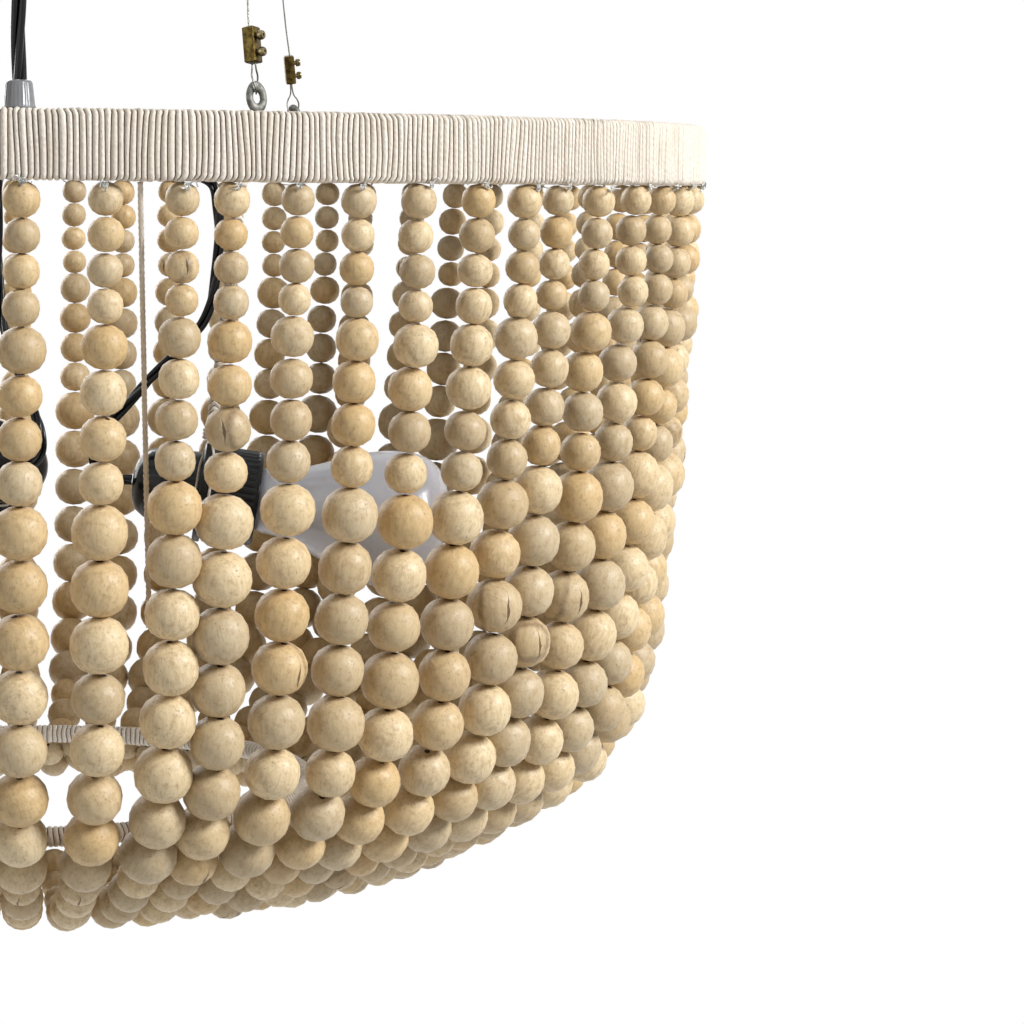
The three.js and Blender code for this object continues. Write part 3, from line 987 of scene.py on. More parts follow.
@dataclass(frozen=True)
class Winding:
    """Cord wound turn by turn over a bar, each turn a ridge of its own that wanders a little."""

    turns: int
    outline: Array
    outward: Array
    ridge: float
    wander: float
    seed: int
    closed: bool
    # A turn's rows of points: their shares of its width and of its height.
    shares: tuple[float, ...] = (0.0, 0.13, 0.32, 0.5, 0.68, 0.87)
    heights: tuple[float, ...] = (0.0, 0.62, 0.92, 1.0, 0.92, 0.62)
    waves: int = 3
    neighbours: int = 3
    common_share: float = 1.2
    own_share: float = 0.32
    width_limits: Pair = (0.7, 1.1)
    size_limits: Pair = (0.8, 1.06)

    def _drift(self, rng: np.random.Generator) -> Array:
        """How far each edge between two turns strays, in turns, at each point of the outline.

        It is a sum of waves round the bar, whose random sizes are in part common to an edge and
        its neighbours, and in part the edge's own.

        Args:
            rng: The source of the random numbers.

        Returns:
            Edges by points of the outline.
        """
        wave = np.arange(1, self.waves + 1)[:, None]
        angle = whole_turn(len(self.outline))
        sizes = rng.normal(0, 1, (2, self.turns, self.waves))
        near = range(-self.neighbours, self.neighbours + 1)
        common = sum(np.roll(sizes, shift, axis=1) for shift in near) / math.sqrt(len(near))
        sizes = common * self.common_share + sizes * self.own_share
        sizes = sizes * self.wander / np.sqrt(wave.ravel())
        return sizes[0] @ np.cos(wave * angle) + sizes[1] @ np.sin(wave * angle)

    def grid(self) -> tuple[Array, Array, Array]:
        """Rows of points along the bar, six to a turn.

        Returns:
            How many turns along each point is, its place in the bar's section, and its mark:
            height in the turn from 0 to 1, a random tone of its turn and its place across it.
        """
        rng = np.random.default_rng(self.seed)
        edges = np.arange(self.turns)[:, None] + self._drift(rng)
        after = np.roll(edges, -1, axis=0)
        after[-1] += self.turns
        if not self.closed:
            after[-1] = self.turns
            edges[0] = 0
        width = (after - edges)[:, None]
        share = np.array(self.shares)[None, :, None]
        along = edges[:, None] + width * share
        size = np.clip(width, *self.width_limits) * rng.uniform(*self.size_limits, (self.turns, 1, 1))
        height = np.array(self.heights)[None, :, None] * size
        tone = rng.uniform(0, 1, (self.turns, 1, 1)) * np.ones_like(along)
        tone[:, 0] = (tone[:, 0] + np.roll(tone[:, 0], 1, axis=0)) / 2
        aside = share * np.ones_like(along)
        sides = len(self.outline)
        along, height, tone, aside = (part.reshape(-1, sides) for part in (along, height, tone, aside))
        section = self.outline + self.outward * (self.ridge * (height[..., None] - 1))
        return along, section, np.stack([height, tone, aside], axis=-1)


def ring_winding(winding: Winding, radius: float, level: float) -> Shell:
    """A winding bent round the middle axis.

    A point n turns along, with place (u, w) in the section, goes to height level + u and radius
    + w outward, at the azimuth of n whole turns' shares of the circle.

    Args:
        winding: The winding.
        radius: The circle's radius.
        level: The circle's height.

    Returns:
        The closed ring.
    """
    along, section, mark = winding.grid()
    angle = along / winding.turns * TURN
    reach = radius + section[..., 1]
    grid = np.stack([reach * np.sin(angle), -reach * np.cos(angle), level + section[..., 0]], axis=-1)
    return loft(grid, closed=True, marks={"turn_place": mark})


def rod_winding(winding: Winding, length: float, stand: Stand) -> Shell:
    """A straight winding, in which a point n turns along stands at its share of the length.

    Args:
        winding: The winding.
        length: How far it goes.
        stand: Where it stands. It goes along z.

    Returns:
        The closed rod.
    """
    along, section, mark = winding.grid()
    grid = np.concatenate([section, (along / winding.turns * length)[..., None]], axis=-1)
    return loft(stand.place(grid), marks={"turn_place": mark})


def circle_outline(radius: float, sides: int) -> tuple[Array, Array]:
    """A circle's outline.

    Args:
        radius: Its radius.
        sides: How many points.

    Returns:
        Its points, counter-clockwise, and the directions outward from them.
    """
    angle = whole_turn(sides)
    outward = np.column_stack([np.cos(angle), np.sin(angle)])
    return outward * radius, outward


@dataclass
class RimBand:
    """The flat hoop at the top, hidden under cotton cord wound turn by turn."""

    finish: Material
    diameter: float = 0.610
    depth: float = 0.012
    corner: float = 0.0026
    pitch: float = 0.00232
    ridge: float = 0.0011
    wander: float = 0.11
    seed: int = 11

    def _outline(self) -> tuple[Array, Array]:
        """The band's section: four round corners joined by straight sides, the long ones cut up.

        Returns:
            Its points as (up, outward) from its underside's outer edge, and the outward directions.
        """
        angle = whole_turn(4)[:, None] + np.linspace(0, TURN / 4, 4)
        outward = np.stack([np.cos(angle), np.sin(angle)], axis=-1)
        signs = np.array(((1, 1), (-1, 1), (-1, -1), (1, -1)))
        middle = np.array((RIM_HEIGHT / 2, self.depth / 2))
        arcs = (signs * (middle - self.corner))[:, None] + self.corner * outward
        shares = np.linspace(0, 1, 3 + 1)[1:-1, None]
        points, normals = [], []
        for number in range(4):
            arc, after = arcs[number], arcs[(number + 1) % 4]
            points.append(arc)
            normals.append(outward[number])
            if number % 2 == 0:
                points.append(arc[-1] + (after[0] - arc[-1]) * shares)
                normals.append(np.repeat(outward[number, -1:], len(shares), axis=0))
        return np.concatenate(points) + middle * (1, -1), np.concatenate(normals)

    def build(self) -> None:
        """Makes the winding and puts it in place of the plain sleeve."""
        turns = round(math.pi * self.diameter / self.pitch)
        winding = Winding(turns, *self._outline(), self.ridge, self.wander, self.seed, closed=True)
        shell = ring_winding(winding, self.diameter / 2, RIM_UNDERSIDE)
        make_piece("rim_winding", shell, self.finish, stands_for=["rim_wrap"], sharp=WOUND)


@dataclass
class LowerRing:
    """The small ring that gathers the strands, wound with the same cord."""

    finish: Material
    pitch: float = 0.0024
    ridge: float = 0.0008
    wander: float = 0.07
    seed: int = 23

    def build(self) -> None:
        """Makes the winding and puts it in place of the plain ring."""
        turns = round(TURN * RING_RADIUS / self.pitch)
        outline = circle_outline(RING_THICKNESS / 2, 14)
        winding = Winding(turns, *outline, self.ridge, self.wander, self.seed, closed=True)
        shell = ring_winding(winding, RING_RADIUS, RIM_UNDERSIDE - RING_DROP)
        plain = ["lower_ring"]
        make_piece("lower_ring_winding", shell, self.finish, stands_for=plain, sharp=WOUND)


# The bead shade


def unit_bead(cuts: int, fullness: float) -> Shell:
    """A bead of radius 1 from a cube whose six faces are cut into cuts by cuts squares.

    A point (a, b) on a cube face is spread to (tan a, tan b, 1), which keeps the squares about
    equal, and brought to where (x x + y y)^(n/2) + |z|^n is 1, with n the fullness. Points that
    two faces share are made one.

    Args:
        cuts: Squares along a cube's edge.
        fullness: 2 for a ball, and more for a shape nearer a barrel.

    Returns:
        The closed bead, with its bore along z.
    """
    spread = np.tan(np.linspace(-TURN / 8, TURN / 8, cuts + 1))
    first, second = np.meshgrid(spread, spread, indexing="ij")
    face = np.stack([first, second, np.ones_like(first)], axis=-1)
    turns = [np.roll(np.eye(3), shift, axis=1) for shift in range(3)]
    sides = np.concatenate([face @ turn for turn in turns] + [face[:, ::-1] @ -turn for turn in turns])
    every = unit(sides.reshape(-1, 3))
    number = np.arange(len(every)).reshape(6, cuts + 1, cuts + 1)
    corners = (number[:, :-1, :-1], number[:, 1:, :-1], number[:, 1:, 1:], number[:, :-1, 1:])
    points, same = np.unique(np.round(every, 6), axis=0, return_inverse=True)
    quads = same.reshape(-1)[np.stack(corners, axis=-1).reshape(-1, 4)]
    corner = points[quads]
    facing = np.cross(corner[:, 1] - corner[:, 0], corner[:, 2] - corner[:, 0])
    inward = np.sum(facing * corner.mean(axis=1), axis=1) < 0
    quads[inward] = quads[inward][:, ::-1]
    size = np.hypot(points[:, 0], points[:, 1]) ** fullness + np.abs(points[:, 2]) ** fullness
    return Shell(points / size[:, None] ** (1 / fullness), [quads])


def grain_turns(rng: np.random.Generator, count: int, lean: float) -> Array:
    """Turns of a bead's wood: any angle about the bore, and a small random lean off it.

    Args:
        rng: The source of the random numbers.
        count: How many beads.
        lean: The spread of the lean, in radians.

    Returns:
        One matrix a bead. Its third row is the bore with random normal amounts of the two other
        directions added, and the other rows are square to it.
    """
    angle = rng.uniform(0, TURN, count)
    bore = unit(np.column_stack([rng.normal(0, lean, (count, 2)), np.ones(count)]))
    lead = np.column_stack([np.cos(angle), np.sin(angle), np.zeros(count)])
    first = unit(lead - np.sum(lead * bore, axis=1, keepdims=True) * bore)
    return np.stack([first, np.cross(bore, first), bore], axis=2)


@dataclass
class BeadShade:
    """Strands of wooden beads that run from the rim band down to the lower ring."""

    wood: Material
    line: Material
    strand_count: int = 68
    first_azimuth: float = -0.2
    hanging_radius: float = 0.299
    end_angle: float = 45.0
    look_ahead: float = 0.004
    bead_cuts: int = 4
    bead_fullness: float = 2.2
    # Rows of beads down a strand: their diameter and how many there are.
    bead_rows: tuple[tuple[float, int], ...] = (
        (0.013, 4), (0.0165, 4), (0.021, 8), (0.0165, 4), (0.013, 4),
    )
    # A strand's course: out from the lower ring as a share of the step to the hanging circle,
    # and down as a share of the ring's drop.
    course_shares: tuple[Pair, ...] = (
        (1.0, 0.0), (0.973, 0.225), (0.93, 0.474), (0.9, 0.63), (0.863, 0.783),
        (0.82, 0.857), (0.746, 0.92), (0.65, 0.97), (0.557, 1.008), (0.47, 1.037),
        (0.38, 1.061), (0.27, 1.073), (0.16, 1.068), (0.075, 1.046),
    )
    # How far, in degrees, the strands at the front right hang from their even places, and how far
    # at most the others do.
    strayed: tuple[float, ...] = (
        0.36, 0.86, 0.86, -0.76, -1.33, -1.62, -1.86, -1.69, -1.9, -3.0, -2.76, -1.83, -0.82, 0.2, 0.6, 0.6,
    )
    stray: float = 0.7
    # How much of that is left at shares of the way down.
    stray_shares: tuple[tuple[float, ...], tuple[float, ...]] = ((0.0, 0.6, 1.0), (1.0, 0.75, 0.0))
    sway: float = 0.06
    size_spread: float = 0.03
    size_limits: Pair = (0.92, 1.08)
    stagger: float = 0.028
    flatness_limits: Pair = (0.93, 1.0)
    pressed_share: float = 1.012
    bead_lean: float = 0.07
    radius_spread: float = 0.0007
    # Near the lower ring the strands are too many for one layer: from this bead on, every other
    # strand sinks and the rest rise, more with each bead.
    crowded_from: int = 17
    crowded_steps: int = 6
    crowded_drops: Pair = (-0.0012, 0.0022)
    grain_lean: float = 0.16
    grain_places: Triple = (1.2, 1.2, 60.0)
    bead_seed: int = 500
    knot_seed: int = 900
    knot_radius: float = 0.3046
    knot_size: float = 0.00042
    knot_flatness: float = 0.7
    knot_lead: Triple = (0.9, 0.3, 0.3)
    knot_roll: float = 20.0
    knot_aside: float = 0.0015
    knot_drop: float = 0.0016
    knot_sizes: Pair = (0.8, 1.2)
    tail_reach: Pair = (0.0014, 0.0025)
    tail_extra: float = 0.009
    tail_rise: Pair = (-0.0012, 0.0024)
    tail_curl: Pair = (-0.5, 1.4)
    # A cut end's way: outward in metres, then aside and up as shares of its reach and rise.
    tail_course: tuple[Triple, ...] = ((0.0, 0.0, 0.0), (0.0006, 0.3, 0.8), (0.0012, 0.7, 1.1))
    tail_end: float = 0.0009
    tail_lead: Triple = (0.31, 0.24, 0.92)
    line_diameter: float = 0.0006
    line_sides: int = 6

    def _course(self) -> Array:
        """A strand's course as (radius, height), on a smooth line through its shares."""
        out, down = np.array(self.course_shares).T
        radius = RING_RADIUS + (self.hanging_radius - RING_RADIUS) * out
        height = RIM_UNDERSIDE - RING_DROP * down
        angle, reach = math.radians(self.end_angle), RING_THICKNESS / 2
        level = RIM_UNDERSIDE - RING_DROP - math.sin(angle) * reach
        end = (RING_RADIUS + math.cos(angle) * reach, level)
        return smooth_route([*zip(radius, height), end], 12)

    def _sizes(self, rng: np.random.Generator) -> Array:
        """One strand's bead diameters.

        Args:
            rng: The source of the random numbers.

        Returns:
            The rows' diameters with a random share more or less each, and one random tendency to
            larger beads above or below, all scaled back to the rows' own sum.
        """
        nominal = np.concatenate([np.full(count, diameter) for diameter, count in self.bead_rows])
        sizes = nominal * np.clip(rng.normal(1, self.size_spread, len(nominal)), *self.size_limits)
        sizes *= 1 + rng.normal(0, self.stagger) * np.cos(np.linspace(0, TURN / 2, len(nominal)))
        return sizes * nominal.sum() / sizes.sum()

    def _angles(self, number: int, rng: np.random.Generator, shares: Array) -> Array:
        """The azimuths of one strand's beads, in radians.

        Args:
            number: The strand's number.
            rng: The source of the random numbers.
            shares: How far down its course each bead is.

        Returns:
            The strand's even place, how far it strays there and a random sway that adds up from
            bead to bead and fades towards the lower ring.
        """
        even = self.first_azimuth + number * 360 / self.strand_count
        known = number < len(self.strayed)
        strayed = self.strayed[number] if known else rng.uniform(-self.stray, self.stray)
        left = np.interp(shares, *self.stray_shares)
        sway = rng.normal(0, self.sway, len(shares)).cumsum() * np.linspace(1, 0, len(shares))
        return np.radians(even + strayed * left + sway)

    def _strand(self, number: int, course: Array, bead: Shell) -> Shell:
        """One strand's beads.

        Each bead is the unit bead times its radius, a little flatter along its bore, turned to
        the course and set with its middle on it. Marks hold the place in the bead, a place in a
        randomly turned piece of wood, in centimetres, and three random numbers of the bead.

        Args:
            number: The strand's number.
            course: Its course as (radius, height).
            bead: The unit bead.

        Returns:
            The beads.
        """
        rng = np.random.default_rng(self.bead_seed + number)
        sizes = self._sizes(rng)
        count, far = len(sizes), travelled(course)[-1]
        steps = sizes * far / sizes.sum()
        middles = np.cumsum(steps) - steps / 2
        radius, height = at_distances(course, middles).T
        after = at_distances(course, np.minimum(middles + self.look_ahead, far))
        way = after - at_distances(course, middles - self.look_ahead)
        crowded = np.clip(np.arange(count) - self.crowded_from, 0, None) / self.crowded_steps
        height = height - self.crowded_drops[number % 2] * crowded
        radius = radius + rng.normal(0, self.radius_spread, count)
        angle = self._angles(number, rng, middles / far)
        outward = np.column_stack([np.sin(angle), -np.cos(angle)])
        sideways = np.column_stack([np.cos(angle), np.sin(angle), np.zeros(count)])
        centre = np.column_stack([outward * radius[:, None], height])
        along = unit(np.column_stack([outward * way[:, :1], way[:, 1]]))
        along = unit(along + rng.normal(0, self.bead_lean, (count, 3)))
        first = unit(sideways - np.sum(sideways * along, axis=1, keepdims=True) * along)
        axes = np.stack([first, np.cross(along, first), along], axis=1)
        flatness = np.ones((count, 1, 3))
        flatness[..., 2] = rng.uniform(*self.flatness_limits, (count, 1))
        local = bead.points * flatness * (sizes[:, None, None] / 2 * self.pressed_share)
        points = centre[:, None] + np.einsum("npi,nij->npj", local, axes)
        wood = np.einsum("npi,nij->npj", local / CM, grain_turns(rng, count, self.grain_lean))
        wood += rng.uniform(-1, 1, (count, 1, 3)) * self.grain_places
        tone = np.broadcast_to(rng.uniform(0, 1, (count, 1, 3)), points.shape)
        starts = np.arange(count)[:, None, None] * len(bead.points)
        marks = {
            "bead_place": np.broadcast_to(bead.points, points.shape).reshape(-1, 3),
            "grain_place": wood.reshape(-1, 3),
            "bead_tone": tone.reshape(-1, 3),
        }
        return Shell(points.reshape(-1, 3), [(bead.faces[0] + starts).reshape(-1, 4)], marks)

    def _loop(self, stand: Stand, roll: float, size: float) -> Shell:
        """A knot's loops.

        Its middle line at angle t is the trefoil: sin t + 2 sin 2t aside, cos t - 2 cos 2t up and
        a flattened -sin 3t outward, times a size.

        Args:
            stand: Where the knot is.
            roll: How far it is rolled about its own z, in degrees.
            size: The size.

        Returns:
            The closed loops.
        """
        angle = whole_turn(40)
        outward = -self.knot_flatness * np.sin(3 * angle)
        aside = np.sin(angle) + 2 * np.sin(2 * angle)
        up = np.cos(angle) - 2 * np.cos(2 * angle)
        loop = stand.rolled(roll).place(np.column_stack([outward, aside, up]) * size)
        square = unit(np.cross(way_round(loop), stand.point(np.array(self.knot_lead))))
        return looped_tube(loop, square, self.line_diameter / 2, self.line_sides)

    def _tail(self, rng: np.random.Generator, stand: Stand, side: int) -> Shell:
        """A cut end that strays from a knot.

        Args:
            rng: The source of the random numbers.
            stand: Where the knot is.
            side: 1 or -1, the side that it goes to.

        Returns:
            The end, on a smooth line. A few are much longer than the rest.
        """
        reach = side * (rng.uniform(*self.tail_reach) + rng.uniform(0, 1) ** 3 * self.tail_extra)
        rise = rng.uniform(*self.tail_rise)
        course = np.array((*self.tail_course, (self.tail_end, 1.0, rng.uniform(*self.tail_curl))))
        line = stand.place(smooth_route(course * (1, reach, rise), 4))
        return tube(line, self.line_diameter / 2, self.line_sides, self.tail_lead)

    def _knot(self, number: int) -> Shell:
        """The nylon line's knot at a strand's top, with its cut ends and the line below it.

        Args:
            number: The strand's number.

        Returns:
            The knot, which hangs against the rim band.
        """
        rng = np.random.default_rng(self.knot_seed + number)
        azimuth = self.first_azimuth + number * 360 / self.strand_count
        if number < len(self.strayed):
            azimuth += self.strayed[number]
        aside, drop = rng.normal(0, self.knot_aside), rng.uniform(0, self.knot_drop)
        stand = Stand.at_azimuth(azimuth).moved(self.knot_radius, aside, RIM_UNDERSIDE - drop)
        size = self.knot_size * rng.uniform(*self.knot_sizes)
        loop = self._loop(stand, rng.uniform(-self.knot_roll, self.knot_roll), size)
        tails = [self._tail(rng, stand, side) for side in (-1, 1)]
        top = (self.hanging_radius - self.knot_radius, -aside, drop - self.bead_rows[0][0] / 2)
        line = stand.place(smooth_route((np.zeros(3), top), 3))
        return joined([loop, *tails, tube(line, self.line_diameter / 2, self.line_sides, stand.axes[1])])

    def build(self) -> None:
        """Makes the knots, and the strands two by two, each pair in place of one plain strand."""
        course = self._course()
        knots = [self._knot(number) for number in range(self.strand_count)]
        make_piece("line_knots", joined(knots), self.line, sharp=SMOOTH)
        bead = unit_bead(self.bead_cuts, self.bead_fullness)
        for pair in range(self.strand_count // 2):
            strands = [self._strand(2 * pair + side, course, bead) for side in range(2)]
            name, plain = f"bead_strands_{pair + 1:02d}", f"strand_{pair + 1:02d}"
            make_piece(name, joined(strands), self.wood, stands_for=[plain], sharp=SMOOTH)


# Frame, suspension and feed


@dataclass
class TopFrame:
    """Three flat arms, a hub and an inner ring, welded inside the rim band."""

    finish: Material
    arm_width: float = 0.012
    arm_reach: float = 0.299
    hub_diameter: float = 0.040
    hub_lap_share: float = 0.1
    grip_hole: float = 0.0106
    inner_ring_radius: float = 0.1037
    inner_ring_width: float = 0.008
    edge: float = 0.0006
    first_azimuth: float = 23.2

    def _flat_ring(self, inner: float, outer: float) -> Shell:
        """A flat ring with its four edges cut back, as thick as the arms.

        Args:
            inner: The radius of its hole.
            outer: Its own radius.

        Returns:
            The ring.
        """
        low, high, edge = ARM_UNDERSIDE, ARM_TOP, self.edge
        outline = (
            (outer - edge, low), (outer, low + edge), (outer, high - edge), (outer - edge, high),
            (inner + edge, high), (inner, high - edge), (inner, low + edge), (inner + edge, low),
        )
        return turned(outline, 96, Stand.at_azimuth(0), closed=True)

    def _arm(self, number: int) -> Shell:
        """An arm: a bar with rounded edges from inside the hub to the rim band.

        Args:
            number: Which of the three it is.

        Returns:
            The arm.
        """
        outline = rounded_outline(self.arm_width, ARM_THICKNESS, self.edge * 2, 3)
        stand = Stand.at_azimuth(self.first_azimuth + 120 * number)
        ring = np.empty((2, len(outline), 3))
        ring[0, :, 0] = self.hub_diameter * (0.5 - self.hub_lap_share)
        ring[1, :, 0] = self.arm_reach
        ring[..., 1] = outline[:, 0]
        ring[..., 2] = outline[:, 1] + (ARM_TOP + ARM_UNDERSIDE) / 2
        return loft(stand.place(ring))

    def build(self) -> None:
        """Makes the frame in place of the faceted one."""
        half = self.inner_ring_width / 2
        hub = self._flat_ring(self.grip_hole / 2, self.hub_diameter / 2)
        inner_ring = self._flat_ring(self.inner_ring_radius - half, self.inner_ring_radius + half)
        shell = joined([hub, inner_ring, *(self._arm(number) for number in range(3))])
        make_piece("frame_bars", shell, self.finish, stands_for=["top_frame"])


@dataclass
class Suspension:
    """Three eyes in the frame, with a thin steel wire looped through each and a screwed clamp."""

    steel: Material
    wire: Material
    brass: Material
    screw: Material
    azimuths: tuple[float, ...] = (23.2, 143.2, 263.2)
    # How far each clamp is rolled on its wire, how far its screws are off its middle, and how
    # high its underside is above the eye.
    clamp_rolls: tuple[float, ...] = (-58.0, 217.0, -58.0)
    screw_offsets: tuple[float, ...] = (0.0002, -0.0002, 0.0002)
    clamp_rises: tuple[float, ...] = (0.0135, 0.017, 0.0135)
    eye_radius: float = 0.230
    eye_height: float = 0.0325
    eye_width: float = 0.0087
    eye_length: float = 0.013
    eye_wire: float = 0.0028
    eye_sides: tuple[int, int] = (48, 16)
    shank_diameter: float = 0.004
    shank_tip_share: float = 0.9
    collar_diameter: float = 0.008
    collar_height: float = 0.002
    lean: float = 10.2
    wire_diameter: float = 0.0008
    wire_twist: float = 400.0
    wire_lobes: int = 5
    wire_lobe_share: float = 0.08
    wire_lead: Triple = (0.2, 0.98, 0.0)
    ferrule_bottom: float = 0.0866
    ferrule_height: float = 0.007
    ferrule_diameter: float = 0.004
    ferrule_edge: float = 0.0004
    turned_sides: int = 24
    clamp_width: float = 0.005
    clamp_depth: float = 0.006
    clamp_height: float = 0.014
    clamp_corner: float = 0.0005
    clamp_edge: float = 0.0004
    clearance: float = 0.0003
    # The two screws of a clamp: how high they are as shares of its height, and their profile as
    # (radius, height above the seat inside the block).
    screw_shares: Pair = (0.27, 0.73)
    screw_seat: float = 0.001
    screw_profile: tuple[Pair, ...] = (
        (0, 0), (0.0011, 0), (0.0011, 0.0018), (0.0017, 0.0018), (0.0019, 0.0022),
        (0.0019, 0.0033), (0.0015, 0.0041), (0.0006, 0.0041), (0.0005, 0.0034), (0, 0.0034),
    )
    # The wire's way from its tail, through the clamp, round the eye, up again and into its end
    # loop: outward, sideways and up from the middle of the eye, in metres.
    wire_route: tuple[Triple, ...] = (
        (0, 0.0008, 0.027), (0, 0.0008, 0.012), (-0.0014, 0.002, 0.0086),
        (-0.0023, 0.002, 0.006), (-0.0022, 0.001, 0.003), (0, 0, 0.00155),
        (0.0022, -0.001, 0.003), (0.0023, -0.002, 0.006), (0.0014, -0.002, 0.0086),
        (0, -0.0008, 0.012), (0, -0.0008, 0.028), (0, 0, 0.047),
        (0, 0, 0.071), (0, -0.0008, 0.087), (0, -0.0008, 0.094),
        (0, -0.0034, 0.0995), (0, -0.0042, 0.1046), (0, 0, 0.1088),
        (0, 0.0042, 0.1046), (0, 0.0034, 0.0995), (0, 0.0008, 0.094),
        (0, 0.0008, 0.086),
    )

    def _eye(self, stand: Stand) -> Shell:
        """A ring drawn out upward, on a collar and a shank that goes down through the arm.

        The ring's point at angle t round the hole and u round its wire is ((R + r cos u) cos t,
        (R + r cos u) sin t) upright, with its height stretched, and r sin u across.

        Args:
            stand: The eye's middle.

        Returns:
            The eye.
        """
        stretch = self.eye_length / self.eye_width
        middle, thick = (self.eye_width - self.eye_wire) / 2, self.eye_wire / 2
        round_hole, round_wire = (whole_turn(steps) for steps in self.eye_sides)
        hole = round_hole[:, None]
        reach = middle + thick * np.cos(round_wire)
        sides = (thick * np.sin(round_wire), reach * np.cos(hole), reach * np.sin(hole) * stretch)
        grid = np.stack(np.broadcast_arrays(*sides), axis=-1)
        link = loft(stand.tilted(-self.lean).place(grid), closed=True)
        bottom = ARM_UNDERSIDE - self.clearance - stand.origin[2]
        seat = ARM_TOP + self.clearance - stand.origin[2]
        high, top = seat + self.collar_height, -middle * stretch
        shank, collar, edge = self.shank_diameter / 2, self.collar_diameter / 2, self.collar_height / 4
        tip = shank * self.shank_tip_share
        profile = (
            (0, bottom), (shank, bottom), (shank, seat), (collar - edge, seat),
            (collar, seat + edge), (collar, high - edge), (collar - edge, high), (shank, high),
            (shank, top - shank), (tip, top), (0, top),
        )
        return joined([link, turned(profile, self.turned_sides, stand)])

    def _wire(self, number: int, stand: Stand) -> None:
        """The wire, with its clamp and its crimped sleeve.

        Args:
            number: Which wire it is.
            stand: The eye's middle, leaned along the wire.
        """
        line = stand.place(smooth_route(self.wire_route, 8))
        lead = stand.point(np.array(self.wire_lead))
        twist = (self.wire_twist, self.wire_lobes, self.wire_lobe_share)
        shell = tube(line, self.wire_diameter / 2, 10, lead, *twist)
        plain = f"suspension_wire_{number}"
        wire = make_piece(f"wire_{number}", shell, self.wire, stands_for=[plain], sharp=SMOOTH)
        low, radius = self.ferrule_bottom, self.ferrule_diameter / 2
        crimped = peg(radius, low, low + self.ferrule_height, self.ferrule_edge, self.turned_sides, stand)
        sleeve = make_piece(f"wire_sleeve_{number}", crimped, self.steel)
        clamp = self._clamp(number, stand)

    def _clamp(self, number: int, stand: Stand) -> bpy.types.Object:
        """The brass block that pinches the doubled wire, and the two screws in its side.

        Args:
            number: Which wire it is on.
            stand: The wire's stand.

        Returns:
            The block's piece.
        """
        stand = stand.rolled(self.clamp_rolls[number - 1])
        low = self.clamp_rises[number - 1]
        outline = rounded_outline(self.clamp_depth, self.clamp_width, self.clamp_corner, 2)
        block = prism(outline, low, low + self.clamp_height, self.clamp_edge, stand)
        name, plain = f"clamp_block_{number}", f"wire_clamp_{number}"
        clamp = make_piece(name, block, self.brass, stands_for=[plain], sharp=CRISP)
        seat = self.clamp_width / 2 - self.screw_seat
        screws = []
        for share in self.screw_shares:
            place = stand.moved(self.screw_offsets[number - 1], seat, low + self.clamp_height * share)
            screws.append(turned(self.screw_profile, 20, place.facing_side()))
        make_piece(f"clamp_screws_{number}", joined(screws), self.screw, sharp=CRISP)
        return clamp

    def build(self) -> None:
        """Makes the three sets."""
        for number, azimuth in enumerate(self.azimuths, start=1):
            eye = Stand.at_azimuth(azimuth).moved(self.eye_radius, 0, RIM_UNDERSIDE + self.eye_height)
            plain = f"eyelet_{number}"
            make_piece(f"eye_{number}", self._eye(eye), self.steel, stands_for=[plain])
            self._wire(number, eye.tilted(-self.lean))


